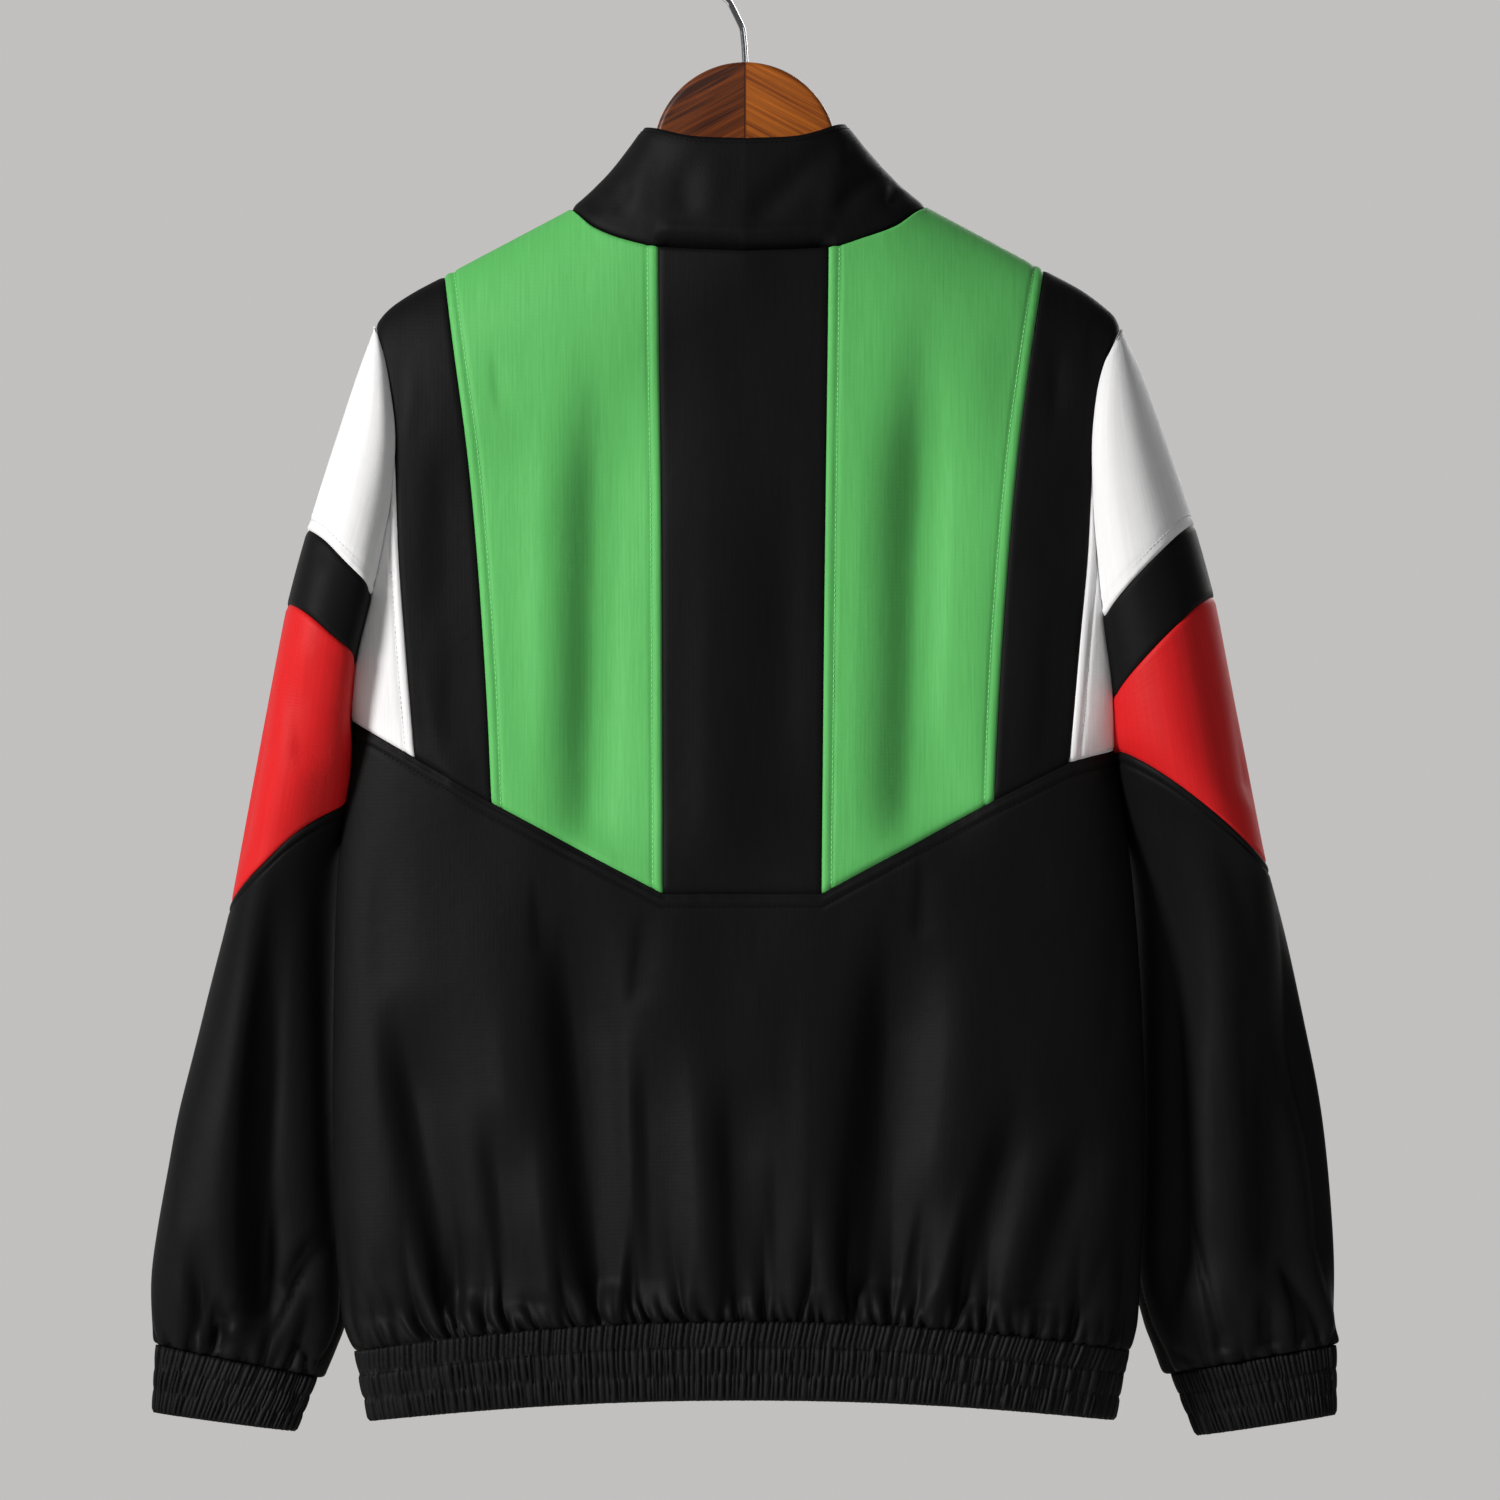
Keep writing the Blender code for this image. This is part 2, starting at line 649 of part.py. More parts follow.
def upper_panels(face, looks):
    """The panels above the yoke seam on the back (face +1) or the front (face -1)."""
    word = "back" if face > 0 else "front"
    made = []
    inside = (0.0, 0.0, -400.0)
    edges = {}
    for side, side_word in ((LEFT, "left"), (RIGHT, "right")):
        layout, edges[side] = upper_layout(face, side)
        for piece, borders in layout.items():
            rows = body_point(face, coons(*borders))
            made.append(Panel(f"{word}_{piece}_{side_word}", rows, inside, looks[piece]))
    if face > 0:
        start, end = edges[LEFT], edges[RIGHT]
        x = np.linspace(start[0][0], end[0][0], 7)
        top = np.stack([x, np.where(x >= 0, neck_z(face, LEFT, x), neck_z(face, RIGHT, x))], axis=-1)
        bottom = line(start[-1], end[-1], np.linspace(0, 1, 7))
        rows = body_point(face, coons(top, bottom, start, end))
        made.append(Panel("back_centre", rows, inside, looks["black"]))
        return made
    for side, side_word in ((LEFT, "left"), (RIGHT, "right")):
        outer = edges[side]
        x = np.linspace(FRONT_OPENING, abs(outer[0][0]), 4)
        top = np.stack([sign(side) * x, neck_z(face, side, x)], axis=-1)
        low = np.array([sign(side) * FRONT_OPENING, outer[-1][1]])
        inner_z = np.interp(SEAM_SHARES, (0, 1), (top[0][1], low[1]))
        inner = np.stack([np.full(len(outer), low[0]), inner_z], axis=-1)
        rows = body_point(face, coons(top, line(low, outer[-1], np.linspace(0, 1, 4)), inner, outer))
        made.append(Panel(f"front_centre_{side_word}", rows, inside, looks["black"]))
    return made


# --- Lower body and hem band ----------------------------------------------------------------------


def hem_z(edge, x):
    """The height of the hem band's top (0) or bottom (1) edge."""
    return HEM_BAND_CENTRE[edge] - HEM_BAND_DROP[edge] * (abs(x) / 230.0) ** 2.1


def hem_points(face, side, edge, count, from_x=0.0):
    """Evenly spread points along half of the hem band's edge, from the centre to the side."""
    fine = np.linspace(0.0, 1.0, 400)
    width = curve(BODY_SIDE, hem_z(edge, 230.0), side)
    x = from_x + (width - from_x) * np.sin(0.5 * math.pi * fine)
    flat = np.stack([sign(side) * x, hem_z(edge, x)], axis=-1)
    lifted = smooth_body(face, flat)
    run = np.concatenate([[0.0], np.cumsum(np.linalg.norm(np.diff(lifted, axis=0), axis=1))])
    x = np.interp(np.linspace(0, run[-1], count), run, x)
    x[-1] = width
    return np.stack([sign(side) * x, hem_z(edge, x)], axis=-1)


def smooth_body(face, flat):
    x, z = flat[..., 0], flat[..., 1]
    width = by_side(x, lambda side: half_width(side, z))
    across = np.clip(abs(x) / width, 0.0, 1.0)
    return np.stack([x, face * curve(BODY_DEPTH, z) * np.sqrt(1 - across**3), z], axis=-1)


def gather_wave(count):
    """One wave for each gather. Two slow sines make the gathers uneven in height."""
    index = np.arange(count)
    gather = index // POINTS_PER_GATHER
    height = 0.75 + 0.25 * np.sin(2.4 * gather) + 0.15 * np.sin(1.1 * gather + 1.0)
    return height * np.cos(2 * math.pi * index / POINTS_PER_GATHER)


def lower_rows(face, top_edge, hem_edge, first_side, last_side):
    """Rows from the yoke seam down to the hem band: wide columns first, then one wave for each gather."""
    top_edge, hem_edge = np.asarray(top_edge), np.asarray(hem_edge)
    hem_wide = hem_edge[::POINTS_PER_GATHER]
    depth_rows = (0.0, 0.06, 0.18, 0.36, 0.56, 0.74, 0.87, 1.0)
    left, right = first_side(np.array(depth_rows)), last_side(np.array(depth_rows))
    grid = coons(top_edge, hem_wide, left, right)
    rows = [body_point(face, row) for row in grid[:-1]]
    wave = gather_wave(len(hem_edge))
    wide_last = grid[-2]
    columns = np.linspace(0, len(hem_wide) - 1, len(hem_edge))
    start = np.stack(
        [np.interp(columns, np.arange(len(hem_wide)), wide_last[:, axis]) for axis in (0, 1)], axis=-1
    )
    for share, strength in ((0.62, 0.5), (0.86, 1.0), (1.0, 0.0)):
        flat = start + (hem_edge - start) * share
        row = body_point(face, flat)
        flat_by_zip = 1.0 if face > 0 else np.clip((abs(row[:, 0]) - TAPE_WIDTH) / 15, 0.0, 1.0)
        by_side_seam = np.clip(abs(row[:, 1]) / 25, 0.0, 1.0)
        row[:, 1] += face * GATHER_DEPTH * strength * wave * by_side_seam * flat_by_zip
        rows.append(row)
    return rows


def side_run(side):
    """The body's side from the underarm to the hem band, at shares of the way down."""

    def read(shares):
        z = UNDERARM[side][1] + (hem_z(0, 230.0) - UNDERARM[side][1]) * shares
        points = np.stack([sign(side) * curve(BODY_SIDE, z, side), z], axis=-1)
        points[0] = (sign(side) * UNDERARM[side][0], UNDERARM[side][1])
        points[-1] = (sign(side) * curve(BODY_SIDE, hem_z(0, 230.0), side), hem_z(0, 230.0))
        return points

    return read


def yoke_edge(side, inner):
    """Points along the yoke seam from an inner start to the underarm, as the upper panels have them."""
    corners = [yoke_point(side, i) for i in range(4)]
    runs = [
        inner,
        line(corners[0], corners[1], np.linspace(0, 1, 9))[1:],
        line(corners[1], corners[2], np.linspace(0, 1, 5))[1:],
        line(corners[2], corners[3], np.linspace(0, 1, 3))[1:],
    ]
    return np.concatenate(runs)


def lower_body(looks):
    """The lower back and the two lower fronts."""
    made = []
    inside = (0.0, 0.0, -680.0)
    centre = line(yoke_point(LEFT, 0), yoke_point(RIGHT, 0), np.linspace(0, 1, 7))
    left = yoke_edge(LEFT, centre[3::-1])
    right = yoke_edge(RIGHT, centre[3:])
    top = np.concatenate([left[::-1], right[1:]])
    half = (len(top) - 1) // 2 * POINTS_PER_GATHER + 1
    hem_left = hem_points(1, LEFT, 0, half)
    hem_right = hem_points(1, RIGHT, 0, half)
    hem = np.concatenate([hem_left[::-1], hem_right[1:]])
    rows = lower_rows(1, top, hem, side_run(LEFT), side_run(RIGHT))
    made.append(Panel("lower_back", rows, inside, looks["black"]))
    for side, word in ((LEFT, "left"), (RIGHT, "right")):
        start = np.array([sign(side) * FRONT_OPENING, yoke_point(side, 0)[1]])
        inner = line(start, yoke_point(side, 0), np.linspace(0, 1, 4))
        top = yoke_edge(side, inner)
        count = (len(top) - 1) * POINTS_PER_GATHER + 1
        hem = hem_points(-1, side, 0, count, FRONT_OPENING)

        def zip_edge(shares, side=side, start=start, hem=hem):
            z = start[1] + (hem[0][1] - start[1]) * shares
            return np.stack([np.full(len(shares), sign(side) * FRONT_OPENING), z], axis=-1)

        rows = lower_rows(-1, top, hem, zip_edge, side_run(side))
        made.append(Panel(f"lower_front_{word}", rows, inside, looks["black"]))
    return made


def hem_band(looks):
    """The elastic band, from the zip round the back to the zip, with a rib over every gather."""
    columns = GATHERS_PER_QUARTER * POINTS_PER_GATHER + 1
    rows = []
    for edge in (0, 1):
        front_left = smooth_body(-1, hem_points(-1, LEFT, edge, columns, FRONT_OPENING))
        front_right = smooth_body(-1, hem_points(-1, RIGHT, edge, columns, FRONT_OPENING))
        back_left = smooth_body(1, hem_points(1, LEFT, edge, columns))
        back_right = smooth_body(1, hem_points(1, RIGHT, edge, columns))
        row = np.concatenate([front_left, back_left[::-1][1:], back_right[1:], front_right[::-1][1:]])
        rows.append(row)
    wave = 0.5 * HEM_RIB * (1 + gather_wave(len(rows[0])))
    rib = np.concatenate([wave, wave])
    return Panel("hem_band", rows, (0.0, 0.0, -855.0), looks["black"], DOUBLE_WALL, rib)


# --- Sleeves and cuffs ----------------------------------------------------------------------------


def inner_line(side, place):
    """The sleeve's inner line: the armhole down to the underarm, then the sleeve's own inner edge."""
    if place <= 1:
        return armhole_point(side, np.array(place))
    z = UNDERARM[side][1] - 100.0 * (place - 1)
    return np.array([sign(side) * curve(SLEEVE_INNER, z, side), z])


def sleeve_row(side, place, count=SLEEVE_POINTS, folds=True):
    """One row round the sleeve, from the inner line over the back and round to the front."""
    outer_z, half_depth, shift, bow = (curve(SLEEVE_ROWS[side], place, column) for column in (1, 2, 3, 4))
    inner = inner_line(side, place)
    outer = np.array([sign(side) * curve(SLEEVE_OUTER, outer_z, side), outer_z])
    seam = float(body_depth(np.array(inner[0]), np.array(inner[1]))) if place < 1 else 0.0
    angle = np.linspace(0.0, 2 * math.pi, count)
    across = 0.5 * (1 - np.cos(angle))
    swell = np.sin(angle)
    flat = inner + (outer - inner) * across[:, None]
    flat[:, 1] += bow * np.abs(swell)
    back = np.where(angle <= math.pi, 1.0, -1.0)
    depth = shift + back * seam * np.sqrt(1 - across**2) + half_depth * swell
    row = np.stack([flat[:, 0], depth, flat[:, 1]], axis=-1)
    if folds:
        middle = row.mean(axis=0)
        for degrees, top, bottom, width, size in SLEEVE_FOLDS[side]:
            along = np.clip((place - top) / (bottom - top), 0.0, 1.0)
            trough = size * math.sin(math.pi * along) * np.exp(
                -(((np.degrees(angle) - degrees) / (0.5 * width)) ** 2)
            )
            way = middle - row
            row += trough[:, None] * way / np.maximum(np.linalg.norm(way, axis=1, keepdims=True), 1e-6)
    return row


def sleeve(side, word, looks):
    steps = ARMHOLE_STEPS[side]
    pieces = (
        ("sleeve_white", steps[: CAP_STEPS + 1], "white"),
        ("sleeve_band", steps[CAP_STEPS : BAND_STEPS + 1], "black"),
        ("sleeve_red", steps[BAND_STEPS:] + RED_STEPS_BELOW[side], "red"),
        ("sleeve_lower", LOWER_STEPS[side], "black"),
    )
    made = []
    for name, places, look in pieces:
        rows = [sleeve_row(side, place) for place in places]
        middle = rows[len(rows) // 2]
        made.append(Panel(f"{name}_{word}", rows, middle[[0, -1]].mean(axis=0), looks[look]))
    return made


def cuff(side, word, looks):
    """The shirred cuff: a rib for each wave over a plain inside."""
    last = LOWER_STEPS[side][-1]
    shift, depth = (float(curve(SLEEVE_ROWS[side], last, column)) for column in (3, 2))
    count = CUFF_RIBS * POINTS_PER_GATHER + 1
    rows = [sleeve_row(side, last, count, folds=False)]
    angle = np.linspace(0.0, 2 * math.pi, count)
    across = 0.5 * (1 - np.cos(angle))
    inner_z, outer_z = (-892.8, -881.4) if side == LEFT else (-895.2, -882.6)
    inner = np.array([sign(side) * curve(SLEEVE_INNER, inner_z, side), inner_z])
    outer = np.array([sign(side) * curve(SLEEVE_OUTER, outer_z, side), outer_z])
    flat = inner + (outer - inner) * across[:, None]
    rows.append(np.stack([flat[:, 0], shift + 0.9 * depth * np.sin(angle), flat[:, 1]], axis=-1))
    wave = 0.5 * CUFF_RIB * (1 + gather_wave(count))
    inside = np.concatenate(rows).mean(axis=0)
    rib = np.concatenate([wave, wave])
    return Panel(f"cuff_{word}", rows, inside, looks["black"], DOUBLE_WALL - 0.5, rib)


# --- Collar and zip -------------------------------------------------------------------------------


def collar_base():
    """The neckline from the left front edge round the back to the right, as the panels have it."""
    runs = []
    for side in (LEFT, RIGHT):
        centre_x = float(curve(CENTRE_SEAM, -183.0, side))
        front = np.concatenate(
            [
                neck_points(-1, side, FRONT_OPENING, centre_x, 4),
                neck_points(-1, side, centre_x, NECK_POINT[side], 5)[1:],
            ]
        )
        neck = (sign(side) * NECK_POINT[side], curve(SHOULDER_LINE, NECK_POINT[side], side))
        front[-1] = neck
        back = neck_points(1, side, centre_x, NECK_POINT[side], 5)
        back[-1] = neck
        runs.append((body_point(-1, front), body_point(1, back)))
    x = np.linspace(curve(CENTRE_SEAM, -183.0, LEFT), -curve(CENTRE_SEAM, -183.0, RIGHT), 7)
    top = np.stack([x, np.where(x >= 0, neck_z(1, LEFT, x), neck_z(1, RIGHT, x))], axis=-1)
    centre = body_point(1, top)
    (front_left, back_left), (front_right, back_right) = runs
    return np.concatenate(
        [front_left, back_left[::-1][1:-1], centre, back_right[1:], front_right[::-1][1:]]
    )


def collar_top(base):
    """The collar's top edge, one point over each point of its base."""
    run = np.concatenate([[0.0], np.cumsum(np.linalg.norm(np.diff(base, axis=0), axis=1))])
    near = slice(len(base) // 2 - 4, len(base) // 2 + 5)
    middle = np.interp(0.0, -base[near, 0], run[near])
    share = np.where(run < middle, 1 - run / middle, (run - middle) / (run[-1] - middle))
    share = np.clip(share, 0.0, 1.0)
    x, y, z = (curve(COLLAR_TOP, share, column) for column in (1, 2, 3))
    x = np.where(run < middle, x, -x)
    x = np.where(share > 0.985, np.sign(x + 1e-9) * np.maximum(abs(x), FRONT_OPENING), x)
    x[0], x[-1] = FRONT_OPENING, -FRONT_OPENING
    return np.stack([x, y, z], axis=-1)


def collar(looks):
    base = collar_base()
    top = collar_top(base)
    rows = []
    for share in COLLAR_ROWS:
        row = base + (top - base) * share
        sag = COLLAR_SAG * math.sin(math.pi * share)
        row[:, 2] -= sag * np.clip((abs(base[:, 0]) - 40) / 60, 0.0, 1.0)
        rows.append(row)
    return Panel("collar", rows, (0.0, 0.0, -160.0), looks["black"], DOUBLE_WALL, gap=2 * SEAM_GAP)


def zip_edge_rows(panels, side):
    """The rows beside one half of the zip, from the hem band up to the collar.

    Each is its points, its normal and the depth to clear.
    """
    word = "left" if side == LEFT else "right"
    named = {panel.name: panel for panel in panels}
    found = []
    for name in ("hem_band", f"lower_front_{word}", f"front_centre_{word}", "collar"):
        panel = named[name]
        whole = name in ("hem_band", "collar")
        border = panel.border("end" if side == RIGHT and whole else "first")
        rows = list(zip(panel.rows, border))
        if name != "collar":
            rows = rows[::-1]
        if name == "collar":
            found.pop()
        elif name != "hem_band":
            rows = rows[1:]
        for row, (index, _) in rows:
            near = row[::-1] if side == RIGHT and whole else row
            if abs(near[0][0]) > abs(near[-1][0]):
                near = near[::-1]
            clear = panel.wall + (COLLAR_CLEARANCE if name == "collar" else SEAM_GAP)
            found.append((near, panel.normals[index], clear))
    return found


def zip_pieces(panels, looks):
    """Two tapes behind the fronts' edges and the chain between them, made from the panels' own points."""
    made = []
    for side, word in ((LEFT, "left"), (RIGHT, "right")):
        rows, path = [], []
        for near, normal, clear in zip_edge_rows(panels, side):
            out = np.array([0.0, normal[1], normal[2]])
            out /= np.linalg.norm(out)
            edge = near[0]
            y, z = (np.interp(TAPE_WIDTH, abs(near[:8, 0]), near[:8, axis]) for axis in (1, 2))
            wide = np.array([sign(side) * TAPE_WIDTH, y, z])
            seat = clear * out
            centre = np.array([0.0, edge[1], edge[2]])
            rows.append(np.array([centre, edge, wide]) - seat)
            path.append((centre - seat, out))
        (last, out), (before, _) = path[-1], path[-2]
        cut = ZIP_TOP_GAP / np.linalg.norm(last - before)
        rows[-1] += (rows[-2] - rows[-1]) * cut
        path[-1] = (last + (before - last) * cut, out)
        inside = rows[len(rows) // 2][1] + np.array([0.0, 50.0, 0.0])
        made.append(Panel(f"zip_tape_{word}", rows[::-1], inside, looks["tape"], TAPE_WALL))
        if side == LEFT:
            half = np.array([0.5 * CHAIN_WIDTH, 0.0, 0.0])
            front = [centre + (SEAM_GAP + CHAIN_WALL) * out for centre, out in path]
            rows = [np.array([point - half, point + half]) for point in front[::-1]]
            made.append(Panel("zip_chain", rows, (0.0, 0.0, -500.0), looks["zip"], CHAIN_WALL))
            end, before = path[-1][0], path[-2][0]
    return made, end, (end - before) / np.linalg.norm(end - before)


def cells(name, xs, ys, zs, filled, look, bevel=0.0):
    """A solid made of the boxes of a small grid that filled(i, j, k) chooses."""
    mesh = bmesh.new()
    corners = {}

    def corner(i, j, k):
        if (i, j, k) not in corners:
            corners[i, j, k] = mesh.verts.new((xs[i] * MM, ys[j] * MM, zs[k] * MM))
        return corners[i, j, k]

    counts = (len(xs) - 1, len(ys) - 1, len(zs) - 1)

    def solid(cell):
        return all(0 <= c < n for c, n in zip(cell, counts)) and filled(*cell)

    for i in range(counts[0]):
        for j in range(counts[1]):
            for k in range(counts[2]):
                if not solid((i, j, k)):
                    continue
                for axis in range(3):
                    for step in (0, 1):
                        beside = [i, j, k]
                        beside[axis] += 2 * step - 1
                        if solid(tuple(beside)):
                            continue
                        first, second = (axis + 1) % 3, (axis + 2) % 3
                        ring = []
                        for a, b in ((0, 0), (1, 0), (1, 1), (0, 1)):
                            at = [i, j, k]
                            at[axis] += step
                            at[first] += a
                            at[second] += b
                            ring.append(corner(*at))
                        mesh.faces.new(ring if step else ring[::-1])
    bmesh.ops.dissolve_limit(mesh, angle_limit=0.01, verts=mesh.verts, edges=mesh.edges)
    data = bpy.data.meshes.new(name)
    mesh.to_mesh(data)
    mesh.free()
    made = bpy.data.objects.new(name, data)
    bpy.context.collection.objects.link(made)
    data.materials.append(look)
    if bevel:
        modifier = made.modifiers.new("Bevel", "BEVEL")
        modifier.width = bevel * MM
        modifier.segments = 1
    return made


def zip_slider(end, up, looks):
    """The slider at the top of the chain, with the bridge that its pull tab hangs from."""
    lean = math.atan2(-up[1], up[2])
    place = (0.0, end[1] * MM, end[2] * MM)
    front = -(SEAM_GAP + CHAIN_WALL + SEAM_GAP)
    back = TAPE_WALL + SEAM_GAP
    xs = (-4.4, -1.2, 1.2, 4.4)
    ys = (front - 4.6, front - 3.5, front - 1.1, front, back, back + 1.1)
    zs = (-7.0, -5.6, -4.4, -0.2, 0.3, 1.0, 4.4)

    def filled(i, j, k):
        if j in (2, 4):
            return True
        if j == 3:
            return k >= 4
        if i != 1:
            return False
        if j == 0:
            return 1 <= k <= 4
        return k in (1, 4)

    slider = cells("zip_slider", xs, ys, zs, filled, looks["zip"], 0.15)
    slider.location = place
    slider.rotation_euler = (lean, 0.0, 0.0)
    bar = 0.75  # half of the tab's crossbar, which turns inside the bridge
    rows = (-27.0, -7.2, -6.0, -bar, bar)
    columns = (-4.2, -2.0, 2.0, 4.2)
    axis = (front - 2.3, -0.9)

    def tab(i, j, k):
        return not (i == 1 and k == 2)

    pull = cells("zip_pull", columns, (-bar, bar), rows, tab, looks["zip"], 0.2)
    turn = np.array([[math.cos(lean), -math.sin(lean)], [math.sin(lean), math.cos(lean)]])
    across = turn @ np.array(axis)
    pull.location = (0.0, place[1] + across[0] * MM, place[2] + across[1] * MM)
    pull.rotation_euler = (lean, 0.0, 0.0)
    return slider, pull


# --- Hanger ---------------------------------------------------------------------------------------


def hanger_outline(side):
    """Half of the hanger's outline in (x, z): the arch, the arm under the shoulder and its lower edge."""
    turn = np.radians(np.linspace(90.0, 22.0, 9))
    arch = [(ARCH_RADIUS * math.cos(a), ARCH_CENTRE_Z + ARCH_RADIUS * math.sin(a)) for a in turn]
    hollow = [(57.0, -124.0), (63.0, -138.0), (76.0, -153.0), (92.0, -165.0), (110.0, -173.5)]
    under = WALL + ARM_DROP
    arm_x = np.array([132.0, 150.0, 170.0, 188.0])
    arm = [(x, float(curve(SHOULDER_LINE, x, side)) - under) for x in arm_x]
    end_z = arm[-1][1]
    tip = [(198.0, end_z - 7.5), (203.0, end_z - 15.0), (201.0, end_z - 24.0), (193.0, end_z - 28.5)]
    lower = [(160.0, -222.5), (128.0, -207.5), (96.0, -192.0), (66.0, -175.0), (38.0, -157.0)]
    lower.append((18.0, -148.0))
    inner = 0.5 * SEAM_GAP
    outline = arch + hollow + arm + tip + lower + [(inner, -146.0)]
    outline[0] = (inner, ARCH_CENTRE_Z + ARCH_RADIUS)
    return [(sign(side) * x, z) for x, z in outline]


def hanger_half(side, word, look):
    mesh = bmesh.new()
    outline = hanger_outline(side)
    ring = [mesh.verts.new((x * MM, -0.5 * WOOD * MM, z * MM)) for x, z in outline]
    face = mesh.faces.new(ring)
    face.normal_update()
    if face.normal.y > 0:
        face.normal_flip()
    pushed = bmesh.ops.extrude_face_region(mesh, geom=[face])
    moved = [item for item in pushed["geom"] if isinstance(item, bmesh.types.BMVert)]
    bmesh.ops.translate(mesh, verts=moved, vec=(0.0, WOOD * MM, 0.0))
    bmesh.ops.recalc_face_normals(mesh, faces=mesh.faces)
    rounded = [edge for edge in mesh.edges if is_outline_edge(edge)]
    bmesh.ops.bevel(mesh, geom=rounded, offset=WOOD_ROUND * MM, segments=2, profile=0.5, affect="EDGES")
    data = bpy.data.meshes.new(f"hanger_{word}")
    mesh.to_mesh(data)
    mesh.free()
    made = bpy.data.objects.new(f"hanger_{word}", data)
    bpy.context.collection.objects.link(made)
    data.materials.append(look)
    return made


def is_outline_edge(edge):
    """True for the edges of the hanger's front and back faces, apart from those at the centre seam."""
    first, second = (vert.co for vert in edge.verts)
    at_seam = max(abs(first.x), abs(second.x)) < SEAM_GAP * MM
    return abs(first.y - second.y) < 0.1 * MM and not at_seam


def hook(look):
    """The wire hook: a stem that stands on the wood's seam and a bend whose inside top is the origin."""
    centre_z = -(HOOK_RADIUS - 0.5 * WIRE)
    foot = ARCH_CENTRE_Z + ARCH_RADIUS + SEAM_GAP
    points = [(0.0, foot), (0.6, foot + 10.0), (1.6, foot + 20.0)]
    turn = np.radians(np.linspace(-62.0, 196.0, 24))
    points += [(HOOK_RADIUS * math.cos(a), centre_z + HOOK_RADIUS * math.sin(a)) for a in turn]
    line_data = bpy.data.curves.new("hanger_hook", "CURVE")
    line_data.dimensions = "3D"
    line_data.bevel_depth = 0.5 * WIRE * MM
    line_data.bevel_resolution = 2
    line_data.use_fill_caps = True
    spline = line_data.splines.new("POLY")
    spline.points.add(len(points) - 1)
    for point, (x, z) in zip(spline.points, points):
        point.co = (x * MM, 0.0, z * MM, 1.0)
    made = bpy.data.objects.new("hanger_hook", line_data)
    bpy.context.collection.objects.link(made)
    line_data.materials.append(look)
    return made


# --- The whole garment ----------------------------------------------------------------------------


def main():
    clear_scene()
    looks = {
        "black": material("black polyester", (0.012, 0.012, 0.013), 0.55),
        "green": material("green polyester", (0.115, 0.52, 0.14), 0.55),
        "white": material("white polyester", (0.9, 0.9, 0.9), 0.6),
        "red": material("red polyester", (0.85, 0.03, 0.035), 0.55),
        "tape": material("zip tape", (0.012, 0.012, 0.013), 0.8),
        "zip": material("zip plastic", (0.02, 0.02, 0.02), 0.35),
    }
    looks["strip"] = looks["black"]
    wood = material("stained wood", (0.31, 0.088, 0.016), 0.3)
    chrome = material("chromed wire", (0.6, 0.6, 0.6), 0.15, 1.0)
    panels = upper_panels(1, looks) + upper_panels(-1, looks) + lower_body(looks)
    panels.append(hem_band(looks))
    for side, word in ((LEFT, "left"), (RIGHT, "right")):
        panels += sleeve(side, word, looks)
        panels.append(cuff(side, word, looks))
    panels.append(collar(looks))
    share_seam_normals(panels)
    strips, end, up = zip_pieces(panels, looks)
    for panel in panels + strips:
        panel.build()
    zip_slider(end, up, looks)
    for side, word in ((LEFT, "left"), (RIGHT, "right")):
        hanger_half(side, word, wood)
    hook(chrome)


main()
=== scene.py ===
# %% [markdown]
# # A windbreaker on a wooden hanger
# This lesson dresses a jacket that already exists as a plain CAD model. The frame holds the CAD nodes in
# metres, with +Z up, the garment's back towards +Y and the wearer's left at +X. Every cloth piece below is
# drawn again as a thin shell on its CAD solid's form, with finer rows, so that it can carry folds, seams,
# stitches and shirring.

# %% Load the frame
import math

import bmesh
import bpy
import numpy as np
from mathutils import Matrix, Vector


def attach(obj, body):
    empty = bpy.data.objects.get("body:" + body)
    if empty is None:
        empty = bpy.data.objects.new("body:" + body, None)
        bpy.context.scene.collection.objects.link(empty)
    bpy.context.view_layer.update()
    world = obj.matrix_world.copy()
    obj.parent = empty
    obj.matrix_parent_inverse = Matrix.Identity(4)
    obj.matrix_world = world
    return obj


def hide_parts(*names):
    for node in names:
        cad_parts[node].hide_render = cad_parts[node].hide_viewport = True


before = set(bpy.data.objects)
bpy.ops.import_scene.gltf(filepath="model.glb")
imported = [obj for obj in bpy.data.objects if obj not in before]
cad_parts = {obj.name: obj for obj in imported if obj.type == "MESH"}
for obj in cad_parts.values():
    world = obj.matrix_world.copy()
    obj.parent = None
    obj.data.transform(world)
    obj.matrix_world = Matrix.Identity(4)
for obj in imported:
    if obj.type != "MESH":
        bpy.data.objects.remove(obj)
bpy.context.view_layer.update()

# %% [markdown]
# ## The garment's measures
# A garment is drawn from a few flat measures, as a pattern maker does. The tables are in millimetres and
# are the CAD source's own, so that the shells lie on the solids. Only the body's side and the sleeves'
# inner edge are set a few millimetres nearer to the real jacket, and the back's folds are deeper. A table
# gives a value on the left and on the right, because a hanging jacket is never quite even.

# %% Measures in millimetres
MM = 0.001
LEFT, RIGHT = 1, 2  # the table column of each side
CLOTH = 0.5  # the shell's thickness; the real cloth is thinner, and this much still renders cleanly
SHOULDER_ROUND = 110.0  # how far below the shoulder line the body reaches its full depth
ARMHOLE_DEPTH = 28.0
FRONT_OPENING = 6.0  # from the centre line to the edge of each front
HEM_BAND_CENTRE = (-825.0, -872.4)
HEM_BAND_DROP = (18.6, 14.4)  # how much lower the band's edges lie at the sides
HALF_HEM = 230.0  # half of the hem's width, about
TAPE_WIDTH = 16.0  # of each half of the zip

